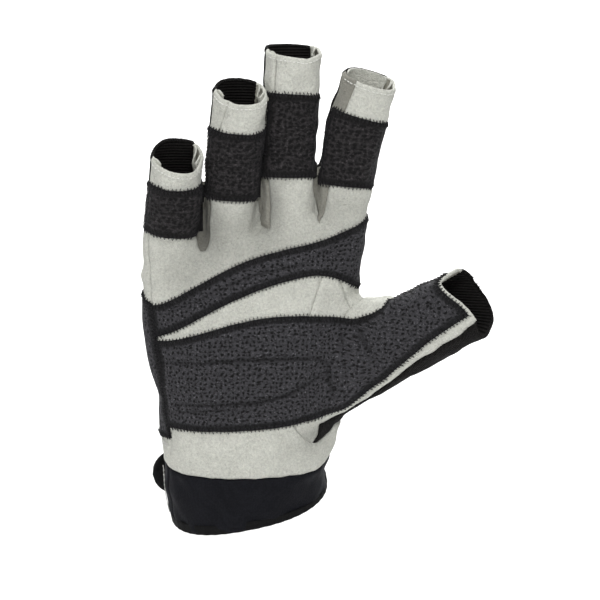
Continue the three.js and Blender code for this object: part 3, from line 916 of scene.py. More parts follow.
def cloth_piece(name, cloth, materials, attributes=None):
    """A new piece from a cloth in millimetres, with smooth faces."""
    mesh = bpy.data.meshes.new(name)
    mesh.from_pydata((cloth["points"] * MM).tolist(), [], cloth["tris"].tolist())
    for key, values in (attributes or {}).items():
        mesh.attributes.new(key, "FLOAT", "POINT").data.foreach_set("value", values)
    mesh.shade_smooth()
    mesh.update()
    piece = bpy.data.objects.new(name, mesh)
    bpy.context.collection.objects.link(piece)
    for material in materials:
        mesh.materials.append(material)
    return piece


def thicken(piece, thick, inside=1):
    """Gives a cloth its thickness, inwards, with the given material number on its inside."""
    wall = piece.modifiers.new("wall", "SOLIDIFY")
    wall.thickness = thick * MM
    wall.offset = -1
    wall.use_even_offset = False
    wall.material_offset = inside
    wall.material_offset_rim = 0
    apply_all(piece)


def seat(piece, slot, *nodes):
    """Puts a piece in place of its solids, riding on the glove's one body."""
    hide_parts(*nodes)
    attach(piece, "root")


def panel(name, cloth_name, materials, wall, slot, *nodes):
    """One sewn panel of the glove, cut from the skin."""
    cloth = trim(hand, label == PANELS.index(cloth_name))
    # Painted shade on the palm, the ring finger's strip and the thumb, kept on the points for the suede.
    painted_darkness = painted_shade(cloth["points"]) * (cloth_name in ("palm", "ring", "thumb"))
    piece = cloth_piece(name, cloth, materials, {"painted_shade": painted_darkness})
    thicken(piece, wall)
    seat(piece, slot, *nodes)
    return piece


def shade_low(piece, height):
    """Gives a strip's faces below a height the suede with painted shade, standing for the shade between the
    fingers.
    """
    piece.data.materials.append(SUEDE_WITH_PAINTED_SHADE)
    for face in piece.data.polygons:
        if face.center[2] < height * MM:
            face.material_index = 2


SUEDES = (SUEDE_OUT, SUEDE_IN)
# Heights below which the ring and middle strips take painted shade.
RING_SHADED = 155
MIDDLE_SHADED = 165
panel("palm_suede", "palm", SUEDES, WALL, "suede", "palm_panel")
panel("gusset_suede", "gusset", SUEDES, WALL, "suede", "web_gusset")
panel("edge_suede", "pinky", SUEDES, WALL, "suede", "pinky_side_panel")
shade_low(panel("ring_strip", "ring", SUEDES, WALL, "suede", "ring_side_panel"), RING_SHADED)
shade_low(panel("middle_strip", "middle", SUEDES, WALL, "suede", "middle_side_panel"), MIDDLE_SHADED)
# The index finger's side strip has painted shade all along.
panel("index_strip", "index", (SUEDE_WITH_PAINTED_SHADE, SUEDE_IN), WALL, "suede", "index_side_panel")
panel("thumb_suede", "thumb", SUEDES, WALL, "suede", "thumb_front")

# The knit back
# Black stretch knit with fine ribs, over the back of the hand, the fingers and the thumb. It is sewn
# to the suede down its sides, and is folded in at the open ends.
KNIT = (0.0075, 0.0068, 0.0065, 1)


def wave_of(tree, place, count, turn):
    """A wave along a place, where count is for each metre."""
    return math_of(tree, "SINE", math_of(tree, "MULTIPLY", place, math_of(tree, "MULTIPLY", count, turn)))


def rib_knit():
    """Fine upright ribs of black knit, with the odd lit fibre."""
    tree, given, place = begin_pattern("rib knit", KNIT, Ribs=900.0, Upright=1.0, Level=0.45)
    axes = add_node(tree, "ShaderNodeSeparateXYZ")
    tree.links.new(place, axes.inputs[0])
    wobble = range_of(tree, noise_of(tree, place, 300, 2), 0.2, 0.8, -0.0004, 0.0004)
    across = math_of(tree, "ADD", math_of(tree, "ADD", axes.outputs["X"], axes.outputs["Y"]), wobble)
    ribs = wave_of(tree, across, given["Ribs"], 6.283)
    rows = wave_of(tree, axes.outputs["Z"], given["Ribs"], 8.5)
    upright = math_of(tree, "MULTIPLY", ribs, given["Upright"])
    height = math_of(tree, "MULTIPLY_ADD", rows, given["Level"], upright)
    fibres = range_of(tree, noise_of(tree, place, 2200, 2), 0.55, 0.8, 0, 1)
    factor = math_of(tree, "MULTIPLY_ADD", fibres, 1.6, range_of(tree, height, -1.4, 1.4, 0.5, 1.5))
    return end_pattern(tree, given, factor, range_of(tree, fibres, 0, 1, 0.95, 0.7), height)


RIB_KNIT = rib_knit()
KNIT_TINT = (0.35, 0.33, 0.32, 1)
KNIT_OUT = cloth_material("black rib knit", RIB_KNIT, KNIT, 0.8, 0.04, KNIT_TINT, 0.15, Ribs=900.0)
KNIT_IN = cloth_material(
    "inside of the knit", RIB_KNIT, KNIT, 1.0, 0.02, KNIT_TINT, 0.15, Ribs=620.0, Upright=0.15, Level=1.1
)
KNITS = (KNIT_OUT, KNIT_IN)
panel("back_knit", "back", KNITS, WALL, "knit", "back_panel")
panel("thumb_knit", "thumb_back", KNITS, WALL, "knit", "thumb_back")

# The grip patches
# Charcoal cloth with knobbly loops, laid on the suede and sewn round its edge with dark zigzag
# thread over a band of close stitches.
CHARCOAL = (0.022, 0.0215, 0.0238, 1)
# Painted shade: the finger bands are the same cloth as the patches, made darker.
SHADED_BAND_CHARCOAL = (0.0125, 0.0112, 0.0118, 1)
THREAD_DARK = (0.012, 0.0115, 0.013, 1)
PATCH_LOW = 0.3
PATCH_RISE = 0.42
PATCH_THICK = 0.5
PATCH_EASE = 0.8
# The groove round a patch where its edge stitches end: how deep, how far in and how wide.
EDGE_DIP = (0.12, 2.9, 0.6)
PITCH = 1.6
BANDS = {"pinky": (120.8, 141.7), "ring": (134.2, 163.5), "middle": (141.9, 175.9), "index": (138.2, 167.6)}
BAND_LEFT = math.radians(-72)
BAND_RIGHT = math.radians(100)
PALM_BAND = np.array([
    (-40, 88.4), (-34.9, 89), (-20.2, 97.7), (-3.4, 107), (13.4, 112.2), (30.2, 115.6),
    (42.8, 121), (54, 127), (54, 92.5), (47, 94.4), (38.6, 99.8), (30.2, 102), (21.8, 100.9),
    (9.2, 97.6), (-7.6, 90.7), (-24.4, 81.2), (-30.7, 77.9), (-39.6, 74.4),
])
HEEL = np.array([
    (-39.6, 73.6), (-32.8, 73.8), (-20.2, 77.2), (-3.4, 82.5), (13.4, 85.3), (30.2, 84.7),
    (43.7, 83.1), (50.5, 84.8), (59.6, 90), (66, 115), (84, 119), (102, 112), (98, 93.5),
    (78.2, 79.2), (68.7, 70.6), (59, 60.8), (49.3, 52.4), (39.4, 44.8), (29.2, 41.6), (19.3, 39.5),
    (9, 38.1), (0.8, 37.1), (-20.2, 36.3), (-35.4, 36.8),
])
EDGE_PATCH_LOW = 31.5
EDGE_PATCH_TOP = np.array([(-44.2, 94.5), (-42.5, 90.2), (-39, 89)])
EASE_TURNS = 3
EDGE_LAP = 0.35
SEAM_CLEAR = 0.3
RIM_LIP = 1.3
DARK_THREAD_THICK = 0.5


def eased(outline, sharp):
    """An outline with its corners eased, apart from the sharp ones."""
    keep = [i in sharp for i in range(len(outline))]
    for _ in range(EASE_TURNS):
        eased_points = []
        eased_keep = []
        for i, (spot, held) in enumerate(zip(outline, keep)):
            before = outline[i - 1]
            after = outline[(i + 1) % len(outline)]
            if held:
                eased_points.append(spot)
                eased_keep.append(True)
            else:
                eased_points += [spot * 0.75 + before * 0.25, spot * 0.75 + after * 0.25]
                eased_keep += [False, False]
        outline = np.array(eased_points)
        keep = eased_keep
    return outline


def biggest_part(cloth):
    """The largest piece of a cloth that hangs together."""
    island = islands_of(len(cloth["points"]), edges_of(cloth["tris"])[0])
    return trim(cloth, island[cloth["tris"][:, 0]] == np.bincount(island).argmax())


def finer(cloth):
    """The same cloth with each triangle made four."""
    tris = cloth["tris"]
    ends = np.sort(np.stack([tris, np.roll(tris, -1, axis=1)], 2).reshape(-1, 2), axis=1)
    unique, inverse = np.unique(ends, axis=0, return_inverse=True)
    middle = inverse.reshape(-1, 3) + len(cloth["points"])
    points = np.concatenate([cloth["points"], cloth["points"][unique].mean(1)])
    a, b, c = tris.T
    ab, bc, ca = middle.T
    new = [np.stack(each, 1) for each in ((a, ab, ca), (ab, b, bc), (ca, bc, c), (ab, bc, ca))]
    return {"points": points, "tris": np.concatenate(new), "marks": {}}


def border_runs(cloth):
    """The open edges of a cloth as closed rows of points, with the cloth on their left."""
    tris = cloth["tris"]
    ends = np.stack([tris, np.roll(tris, -1, axis=1)], 2).reshape(-1, 2)
    code = np.sort(ends, axis=1) @ np.array([len(cloth["points"]), 1])
    unique, inverse, count = np.unique(code, return_inverse=True, return_counts=True)
    after = dict(ends[count[inverse.ravel()] == 1].tolist())
    runs = []
    while after:
        start = next(iter(after))
        run = [start]
        spot = after.pop(start)
        while spot in after:
            run.append(spot)
            spot = after.pop(spot)
        if len(run) > 20:
            runs.append(run)
    return runs


def spaced(path, step, closed):
    """Spots at an even step along a path, and the path's direction at each."""
    if closed:
        path = np.concatenate([path, path[:1]])
    length = np.concatenate([[0], np.cumsum(np.linalg.norm(np.diff(path, axis=0), axis=1))])
    count = max(int(length[-1] / step), 2)
    at = np.linspace(0, length[-1], count, endpoint=not closed)
    spots = np.stack([np.interp(at, length, column) for column in path.T], 1)
    if closed:
        ahead = np.roll(spots, -2, axis=0) - np.roll(spots, 2, axis=0)
    else:
        ahead = np.gradient(spots, axis=0)
    return spots, unit(ahead)


def threads(name, paths, thick, material):
    """Round threads along paths in millimetres, as one mesh."""
    curve = bpy.data.curves.new(name, "CURVE")
    curve.dimensions = "3D"
    curve.bevel_depth = thick / 2 * MM
    curve.bevel_resolution = 1
    curve.use_fill_caps = True
    for path in paths:
        spline = curve.splines.new("POLY")
        spline.points.add(len(path) - 1)
        flat = np.concatenate([path * MM, np.ones((len(path), 1))], axis=1)
        spline.points.foreach_set("co", flat.ravel())
    piece = bpy.data.objects.new(name, curve)
    bpy.context.collection.objects.link(piece)
    select_only(piece)
    bpy.ops.object.convert(target="MESH")
    piece = bpy.context.object
    piece.data.materials.clear()
    piece.data.materials.append(material)
    piece.data.shade_smooth()
    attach(piece, "root")
    return piece


def streaks_of(tree, across, along, fine, long):
    """Noise drawn out into strokes, from two sockets in millimetres."""
    place = add_node(tree, "ShaderNodeCombineXYZ")
    tree.links.new(math_of(tree, "DIVIDE", across, fine), place.inputs[0])
    tree.links.new(math_of(tree, "DIVIDE", along, long), place.inputs[1])
    return noise_of(tree, place.outputs[0], 1.0, 2)


def mix_of(tree, factor, one, two):
    """Between two values by a factor."""
    node = add_node(tree, "ShaderNodeMix")
    for socket, value in zip((node.inputs[0], node.inputs[2], node.inputs[3]), (factor, one, two)):
        tree.links.new(value, socket)
    return node.outputs[0]


def knobbly_cloth():
    """Rows of loops round dark pits, with lit fibres, a band of close stitches at the edge, and painted
    shade in the creases.
    """
    tree, given, place = begin_pattern(
        "knobbly cloth", CHARCOAL, Edge=9.0, Crease=0.0, Run=0.0, Across=0.0, Up=0.0, Pits=0.34
    )
    across = given["Across"]
    up = given["Up"]
    sway = range_of(tree, noise_of(tree, place, 160, 2), 0.2, 0.8, -1.2, 1.2)
    cell = add_node(tree, "ShaderNodeCombineXYZ")
    tree.links.new(math_of(tree, "DIVIDE", math_of(tree, "ADD", across, sway), 2.35), cell.inputs[0])
    tree.links.new(math_of(tree, "DIVIDE", math_of(tree, "ADD", up, sway), 1.95), cell.inputs[1])
    spread = {"Scale": 1, "Randomness": 0.55}
    loops = add_node(tree, "ShaderNodeTexVoronoi", spread, voronoi_dimensions="2D")
    tree.links.new(cell.outputs[0], loops.inputs["Vector"])
    ridge = range_of(tree, loops.outputs["Distance"], 0.1, 0.34, 0, 1)
    tree.links.new(given["Pits"], ridge.node.inputs["From Max"])
    lumps = range_of(tree, streaks_of(tree, across, up, 1.5, 0.75), 0.3, 0.7, -1, 1)
    grain = range_of(tree, noise_of(tree, place, 1000, 3, 0.8), 0.34, 0.66, -1, 1)
    glint = range_of(tree, noise_of(tree, place, 1250, 2, 0.7), 0.6, 0.72, 0, 1)
    strokes = range_of(tree, streaks_of(tree, given["Run"], given["Edge"], 0.5, 2.4), 0.35, 0.65, -1, 1)
    middle = range_of(tree, given["Edge"], 2.2, 3.3, 0, 1)
    inner = math_of(tree, "MULTIPLY_ADD", grain, 0.45, math_of(tree, "MULTIPLY_ADD", lumps, 0.4, ridge))
    border = math_of(tree, "MULTIPLY_ADD", strokes, 0.5, math_of(tree, "MULTIPLY_ADD", grain, 0.3, 0.2))
    height = mix_of(tree, middle, border, inner)
    body = range_of(tree, inner, 0.18, 1.25, 0, 2.3)
    edge = range_of(tree, border, -0.4, 0.9, 0.0, 0.75)
    factor = mix_of(tree, middle, edge, body)
    lit = math_of(tree, "MULTIPLY", glint, math_of(tree, "MULTIPLY_ADD", ridge, 0.6, 0.4))
    factor = math_of(tree, "MULTIPLY_ADD", lit, range_of(tree, middle, 0, 1, 1.2, 4.5), factor)
    # Painted shade: darker in the creases.
    factor = math_of(tree, "MULTIPLY", factor, range_of(tree, given["Crease"], 0, 0.5, 1, 0.3))
    return end_pattern(tree, given, factor, range_of(tree, lit, 0, 1, 0.82, 0.55), height)


KNOBBLY = knobbly_cloth()


def patch_material(name, colour, pits):
    """The patches' cloth, told where its edge is."""
    material = cloth_material(name, KNOBBLY, colour, 0.9, 0.04, (0.5, 0.5, 0.55, 1), Pits=pits)
    tree = material.node_tree
    pattern = next(node for node in tree.nodes if node.type == "GROUP")
    for key in ("edge", "crease", "run", "across", "up"):
        tree.links.new(attribute_of(tree, key), pattern.inputs[key.capitalize()])
    return material


def thread_material(name, colour, rough):
    """Twisted thread."""
    material = bpy.data.materials.new(name)
    material.use_nodes = True
    tree = material.node_tree
    shader = tree.nodes["Principled BSDF"]
    place = add_node(tree, "ShaderNodeTexCoord").outputs["Object"]
    plies = range_of(tree, noise_of(tree, place, 2400, 2), 0.3, 0.7, 0.7, 1.3)
    base = add_node(tree, "ShaderNodeRGB")
    base.outputs[0].default_value = colour
    tree.links.new(shade_of(tree, base.outputs[0], plies), shader.inputs["Base Color"])
    shader.inputs["Roughness"].default_value = rough
    shader.inputs["Specular IOR Level"].default_value = 0.3
    return material


PATCH_CLOTH = patch_material("charcoal knobbly cloth", CHARCOAL, 0.36)
SHADED_BAND_CLOTH = patch_material("charcoal cloth of the fingers, with painted shade", SHADED_BAND_CHARCOAL, 0.6)
DARK_THREAD = thread_material("dark thread", THREAD_DARK, 0.6)
FINGER_HALF = 10.8
TEETH = np.random.default_rng(11)
TOOTH_IN = 1.3
dark_paths = []


def weave_place(cloth, digit):
    """Where each point lies in the flat cloth, across and up, in millimetres."""
    points = cloth["points"]
    if digit:
        u, v, half, thick, length = place_in(digit, points)
        return np.arctan2(u / half, -v / thick) * FINGER_HALF, length
    z, x, y, half, front, back, rise_x, rise_y = body_at(points)
    side = np.sign(points[:, 0] - x)
    return points[:, 0] + side * np.clip(points[:, 1] - y + front, 0, None), points[:, 2]


def patch(name, fields, node, digit=None):
    """One grip patch on the skin, inside every field, with its zigzag stitches."""
    cloth = finer(biggest_part(cut_to(skin, fields)))
    normals = normals_of(cloth["points"], cloth["tris"])
    base = cloth["points"] + normals * sag(cloth["points"])[:, None]
    runs = border_runs(cloth)
    rim = np.concatenate([cloth["points"][run] for run in runs])
    length = []
    for run in runs:
        steps = np.diff(cloth["points"][run], axis=0, prepend=cloth["points"][run[:1]])
        length.append(np.cumsum(np.linalg.norm(steps, axis=1)))
    far, at = nearness(cloth["points"], rim)
    dip, dip_in, dip_wide = EDGE_DIP
    height = PATCH_LOW + PATCH_RISE * (1 - np.exp(-far / PATCH_EASE))
    height -= dip * np.exp(-(((far - dip_in) / dip_wide) ** 2))
    top = {"points": base + normals * height[:, None], "tris": cloth["tris"]}
    kept = {"edge": far, "crease": creases(cloth["points"]), "run": np.concatenate(length)[at]}
    kept["across"], kept["up"] = weave_place(cloth, digit)
    # The finger bands take the charcoal with painted shade.
    piece = cloth_piece(name, top, [SHADED_BAND_CLOTH if digit else PATCH_CLOTH], kept)
    thicken(piece, PATCH_THICK, 0)
    seat(piece, "textured", node)
    for run in runs:
        spots, ahead = spaced(np.concatenate([base[run], normals[run]], axis=1), PITCH / 2, True)
        up = unit(spots[:, 3:])
        inward = np.cross(up, unit(ahead[:, :3]))
        even = (np.arange(len(spots)) % 2 == 0)[:, None]
        shown = behind(spots[:, :3]) < -3.0
        if digit:
            u, v, half, thick, long = place_in(digit, spots[:, :3])
            shown = v < -0.25 * thick
        out_by = TEETH.uniform(0.35, 1.1, len(spots))[:, None]
        over = TOOTH_IN * inward + (PATCH_LOW + 0.72) * up
        path = spots[:, :3] + np.where(even, -out_by * inward + 0.2 * up, over)
        pieces = np.split(np.arange(len(path)), np.flatnonzero(np.diff(shown.astype(int))) + 1)
        dark_paths.extend(path[each] for each in pieces if shown[each[0]] and len(each) > 3)
    return piece


def on_plane(name, z, points):
    """How far points lie along a digit past the height z of its middle."""
    middle, wide, deep, along, half, thick = digit_frames(name)
    centre = np.array([np.interp(z, middle[:, 2], column) for column in middle.T])
    way = np.array([np.interp(z, middle[:, 2], column) for column in along.T])
    return (points - centre) @ way


def beyond_ray(name, angle, points):
    """How far points lie past a ray from a digit's middle, turning from its palm side to the thumb."""
    u, v, half, thick, length = place_in(name, points)
    return u * math.cos(angle) + v * math.sin(angle)


def near_digit(name, points):
    """Positive close to a digit, and negative away from it."""
    digit, near, margin = digit_of(points)
    return np.where((digit == list(UNDERCUT).index(name)) & (near < NEAR), 1.0, -1.0)


for finger, (low, high) in BANDS.items():
    fields = [
        lambda p, name=finger: near_digit(name, p),
        lambda p, name=finger, start=low: on_plane(name, start, p),
        lambda p, name=finger, end=high: -on_plane(name, end, p),
        lambda p, name=finger: np.where(place_in(name, p)[0] < 0, beyond_ray(name, BAND_LEFT, p), 5),
        lambda p, name=finger: np.where(place_in(name, p)[0] > 0, -beyond_ray(name, BAND_RIGHT, p), 5),
    ]
    patch(f"{finger}_grip", fields, f"{finger}_band", finger)


def in_front(points):
    """How far points lie in front of the seams to the back."""
    return -behind(points) - SEAM_CLEAR


def patch_front(points):
    """In front of the hand's side seams, or on the palm side of the thumb."""
    body = -behind_sides(points) - SEAM_CLEAR
    u, v, length, near = in_thumb(points)
    thumb = np.where(u < 0, -v, 6.0)
    mix = step_up(off_body(points), 0.5, 4) * near
    return body * (1 - mix) + thumb * mix


palm_line = eased(PALM_BAND, {0, 7, 8, 17})
heel_line = eased(HEEL, {0, 6, 9, 10, 12, 23})
patch("palm_grip", [in_front, right_of_edge, lambda p: in_outline(palm_line, p)], "palm_band")
heel_fields = [
    patch_front,
    right_of_edge,
    lambda p: in_outline(heel_line, p),
    lambda p: -past_rims(p) - RIM_LIP,
]
patch("heel_grip", heel_fields, "heel_patch")
edge_fields = [
    in_front,
    lambda p: EDGE_LAP - right_of_edge(p),
    lambda p: p[:, 2] - EDGE_PATCH_LOW,
    lambda p: np.interp(p[:, 0], *EDGE_PATCH_TOP.T) - p[:, 2],
    lambda p: -p[:, 0],
]
patch("edge_grip", edge_fields, "edge_patch")
threads("zigzag_thread", dark_paths, DARK_THREAD_THICK, DARK_THREAD)

# The stitched rims
# Each finger's open end is turned in and held by a row of pale stitches. Inside it, the seam
# allowances of the suede stand up as raw flaps.
THREAD_PALE = (0.76, 0.76, 0.72, 1)
RIM_ROW = 1.9
STITCH_PITCH = 1.65
STITCH_LONG = 1.05
PALE_THREAD_THICK = 0.46
FLAP_THICK = 0.7
PALE_THREAD = thread_material("pale thread", THREAD_PALE, 0.7)


def round_rim(name, angle, inset, below):
    """Spots round a digit's open end, turning from its thumb side to its back, inside its skin."""
    middle, wide, deep, along, half, thick = digit_frames(name)
    across, through = squared(angle)
    tip = math.radians(UNDERCUT[name])
    u = across * (half[-1] - inset)
    v = through * (thick[-1] - inset)
    up = (rim_lift(name, across, through) - below + v * math.sin(tip)) / math.cos(tip)
    return middle[-1] + u[:, None] * wide[-1] + v[:, None] * deep[-1] + up[:, None] * along[-1]


def on_hand(spots):
    """Spots moved onto the glove's outer face, and the way out at each."""
    at = nearness(spots, hand["points"])[1]
    way = hand_normals[at]
    return spots - ((spots - hand["points"][at]) * way).sum(1)[:, None] * way, way


pale_paths = []
for finger in KNUCKLE_Z:
    turn = np.radians(np.linspace(212, 342, 160))
    row, way = on_hand(round_rim(finger, turn, 0.2, RIM_ROW))
    spots, ahead = spaced(row, STITCH_PITCH, False)
    for spot, run, up in zip(spots, ahead, way[nearness(spots, row)[1]]):
        reach = run * STITCH_LONG / 2
        pale_paths.append(np.array([spot - reach - 0.1 * up, spot + 0.14 * up, spot + reach - 0.1 * up]))
threads("rim_stitches", pale_paths, PALE_THREAD_THICK, PALE_THREAD)

# Each flap: finger, angle of its seam, angle that it covers, how deep it hangs, how far its edge lifts.
FLAPS = [
    ("pinky", 50, -30, 9, 2.6), ("pinky", 12, -26, 5, 1.5), ("pinky", 206, 22, 5, 1.6),
    ("ring", 50, -26, 5, 2.2), ("ring", 10, -26, 4, 1.4), ("ring", 204, 22, 4, 1.5),
    ("middle", 48, -28, 4, 2.2), ("middle", 203, 20, 3, 1.2),
    ("index", 62, -18, 5, 1.2), ("index", 24, -26, 4, 1.6),
]
for number, (finger, start, cover, hang, edge_lift) in enumerate(FLAPS):
    across, down = (each.ravel() for each in np.meshgrid(np.linspace(0, 1, 9), np.linspace(0, 1, 13)))
    curl = 0.75 + 0.25 * np.sin(down * 5 + number * 2)
    inset = WALL + (1.4 if finger == "index" else 0.35) + edge_lift * across**1.5 * curl
    below = 0.1 + down * hang + 0.8 * across**2 - 0.5 * np.sin(across * math.pi)
    spots = round_rim(finger, np.radians(start + cover * across), inset, below)
    corner = np.arange(12 * 9).reshape(12, 9)[:, :-1].ravel()
    tris = np.concatenate([
        np.stack([corner, corner + 1, corner + 10], 1),
        np.stack([corner, corner + 10, corner + 9], 1),
    ])
    if cover < 0:
        tris = tris[:, ::-1]
    flap = {"points": spots, "tris": tris, "marks": {}}
    piece = cloth_piece(f"{finger}_allowance_{number}", flap, SUEDES)
    thicken(piece, FLAP_THICK, 0)
    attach(piece, "root")

# The facing inside the index finger
# A second layer of suede inside the back of the index finger's open end, where it is let into the
# side seams and lines the rim.
FACING_DEEP = 24
facing_fields = [
    lambda p: near_digit("index", p),
    lambda p: above_rim("index", p) + FACING_DEEP,
    lambda p: -past_rims(p) - 0.15,
    lambda p: np.where(place_in("index", p)[0] > 0, beyond_ray("index", BACK_SEAM_RIGHT - 0.05, p), 5),
    lambda p: place_in("index", p)[1] + 1,
]
facing = biggest_part(cut_to(skin, facing_fields))
facing["points"] = facing["points"] - normals_of(facing["points"], facing["tris"]) * (WALL + 0.2)
piece = cloth_piece("index_lining", facing, SUEDES)
thicken(piece, FLAP_THICK, 0)
seat(piece, "suede", "index_facing")

# The cuff
# Soft neoprene with a dark jersey face, sewn to the suede. Its side seam is at the little
# finger's side, and a folded tape binds its open end.
NEOPRENE = (0.0055, 0.0058, 0.0082, 1)
TAPE = (0.004, 0.004, 0.0042, 1)
CUFF_THICK = 2.6
CUFF_SIDES = 360
SIDE_GROOVE = math.radians(201)
TAPE_HIGH = 3.4
TAPE_PROUD = 0.65
CUFF_GROW = -0.25
CUFF_SEEN = 19
CUFF_GROOVE = 0.7
CUFF_PUFF = 0.5
CUFF_TUCK = 0.75


def ring_cloth(rings):
    """A cloth woven through rings of points, each ring closed on itself."""
    rows = len(rings)
    sides = len(rings[0])
    number = np.arange(rows * sides).reshape(rows, sides)
    a = number[:-1]
    b = np.roll(number, -1, axis=1)[:-1]
    c = np.roll(number, -1, axis=1)[1:]
    d = number[1:]
    tris = np.concatenate([np.stack([a, b, c], 2).reshape(-1, 3), np.stack([a, c, d], 2).reshape(-1, 3)])
    return {"points": np.concatenate(rings), "tris": tris, "marks": {}}


cuff_rows = along_rows(BODY, np.linspace(0.14, CUFF_ROW, 34))
cuff_rings = [ring_at(row, CUFF_GROW, CUFF_SIDES) for row in cuff_rows]
cuff_cloth = ring_cloth(cuff_rings)
cuff_normals = normals_of(cuff_cloth["points"], cuff_cloth["tris"])
step_of = np.repeat(np.arange(len(cuff_rows)), CUFF_SIDES)
from_top = (len(cuff_rows) - 1 - step_of) / (len(cuff_rows) - 1) * CUFF_SEEN
groove_spots = np.array([ring[round(SIDE_GROOVE / math.tau * CUFF_SIDES)] for ring in cuff_rings])
groove_far = np.linalg.norm(cuff_cloth["points"] - np.repeat(groove_spots, CUFF_SIDES, axis=0), axis=1)
cuff_lift = sag(cuff_cloth["points"]) * 1.2 - CUFF_GROOVE * np.exp(-((groove_far / 0.8) ** 2))
tuck = CUFF_TUCK * np.exp(-((from_top / 0.8) ** 2))
cuff_lift += CUFF_PUFF * (1 - np.exp(-from_top / 1.1)) - tuck
cuff_cloth["points"] = cuff_cloth["points"] + cuff_normals * cuff_lift[:, None]


def jersey():
    """The jersey face of neoprene: tiny knitted cells, with a faint cloudy sheen."""
    tree, given, place = begin_pattern("jersey", NEOPRENE, Cells=1500.0)
    cells = add_node(tree, "ShaderNodeTexVoronoi", {"Randomness": 0.45})
    tree.links.new(given["Cells"], cells.inputs["Scale"])
    tree.links.new(place, cells.inputs["Vector"])
    top = range_of(tree, cells.outputs["Distance"], 0.1, 0.8, 1, 0)
    clouds = range_of(tree, noise_of(tree, place, 130, 4), 0.3, 0.7, 0.85, 1.15)
    factor = math_of(tree, "MULTIPLY", clouds, range_of(tree, top, 0, 1, 0.7, 1.35))
    return end_pattern(tree, given, factor, range_of(tree, top, 0, 1, 0.85, 0.68), top)


JERSEY = jersey()
NAVY_TINT = (0.5, 0.52, 0.62, 1)
GREY_TINT = (0.5, 0.5, 0.5, 1)
CUFF_CLOTH = cloth_material("navy-black jersey", JERSEY, NEOPRENE, 0.35, 0.02, NAVY_TINT, 0.13)
TAPE_CLOTH = cloth_material("black binding tape", JERSEY, TAPE, 0.3, 0.01, GREY_TINT, 0.15, Cells=2200.0)
piece = cloth_piece("neoprene_cuff", cuff_cloth, [CUFF_CLOTH])
thicken(piece, CUFF_THICK - 0.4, 0)
seat(piece, "neoprene", "cuff")

# An overlock stitch runs down the side seam, and a bar tack holds the suede above it.
SIDE_THREAD_THICK = 0.34
BAR_TACK = np.array([(-35.6, -12, 29.6), (-34.6, -15.5, 29.2), (-33.2, -18.5, 28.6)])
zigzag = []
for number, row in enumerate(along_rows(BODY, np.linspace(0.45, 1.8, 20))):
    turn = math.radians(186 if number % 2 else 193)
    zigzag.append(ring_at(row, 0.95, CUFF_SIDES)[round(turn / math.tau * CUFF_SIDES)])
side_paths = [np.array(zigzag)]
for step in range(4):
    bar, way = on_hand(BAR_TACK - (0, 0, 0.55 * step))
    side_paths.append(bar + way * 0.2)
threads("side_stitches", side_paths, SIDE_THREAD_THICK, PALE_THREAD)

# The tape is folded over the edge: up the outside, round the hem and up the inside.
TAPE_START = 0.7
fold = []
for t in np.linspace(0, 1, 9):
    fold.append((TAPE_PROUD - 0.25 * (1 - t) ** 3, TAPE_HIGH * (1 - t) * 0.94 + TAPE_START))
for t in np.linspace(0, 1, 9)[1:-1]:
    turn = t * math.pi
    reach = (CUFF_THICK + 2 * TAPE_PROUD) / 2
    fold.append((TAPE_PROUD - reach * (1 - math.cos(turn)), TAPE_START - 0.95 * math.sin(turn)))
for t in np.linspace(0, 1, 9):
    fold.append((-CUFF_THICK - TAPE_PROUD + 0.25 * t**3, TAPE_HIGH * t * 0.94 + TAPE_START))
tape_rings = []
for grow, high in fold[::-1]:
    row = along_rows(BODY, [max(high, 0) / 9])[0]
    tape_rings.append(ring_at(row, grow, CUFF_SIDES) + (0, 0, min(high, 0)))
tape_cloth = ring_cloth(tape_rings)
tape_normals = normals_of(tape_cloth["points"], tape_cloth["tris"])
angle = np.tile(np.arange(CUFF_SIDES) / CUFF_SIDES * math.tau, len(tape_rings))
tape_cloth["points"] = tape_cloth["points"] + tape_normals * (0.06 * np.sin(angle * 45))[:, None]
piece = cloth_piece("hem_tape", tape_cloth, [TAPE_CLOTH])
thicken(piece, 0.5, 0)
seat(piece, "binding", "cuff_binding")

# The wrist strap
# A flat strap of bonded cloth, sewn on the back of the cuff. Its round end stands off at the little
# finger's side.
STRAP = (0.006, 0.006, 0.0065, 1)
STRAP_HIGH = 20
STRAP_THICK = 2.4
STRAP_LIFT = 6.5
STRAP_TILT = (0.2, -0.08)
STRAP_FREE = 13
STRAP_ANGLES = np.radians(np.arange(40, 121, 8))
top_row = BODY[CUFF_ROW]
wide = top_row[3] + 0.3
deep = top_row[5] + 0.3
across, through = squared(STRAP_ANGLES)
strap_line = np.stack([wide * across, deep * through], 1)
way = strap_line[-1] - strap_line[-2]
way /= np.linalg.norm(way)
reach = np.linspace(0, 1, 26)[1:] * (STRAP_FREE + STRAP_HIGH / 2)
strap_line = np.concatenate([strap_line, strap_line[-1] + reach[:, None] * way])
strap_line, strap_way = spaced(strap_line, 0.7, False)
strap_out = np.stack([strap_way[:, 1], -strap_way[:, 0]], 1)
left = np.linalg.norm(strap_line - strap_line[-1], axis=1)
radius = STRAP_HIGH / 2
half_high = np.where(left < radius, np.sqrt(np.clip(radius**2 - (radius - left) ** 2, 0.02, None)), radius)
STRAP_EDGE = 1.2
section = [(1 - 2 * t, 0.5) for t in np.linspace(0, 1, 15)]
section += [(2 * t - 1, -0.5) for t in np.linspace(0, 1, 15)]
strap_rings = []
for spot, out_way, high in zip(strap_line, strap_out, half_high):
    ring = []
    for share, side in section:
        round_off = 1 - 0.35 * max(0, abs(share) * high - high + STRAP_EDGE) / STRAP_EDGE
        flat = spot + out_way * STRAP_THICK * (0.5 + side * round_off)
        ring.append((flat[0], flat[1], share * high))
    strap_rings.append(np.array(ring))
strap_cloth = ring_cloth(strap_rings)
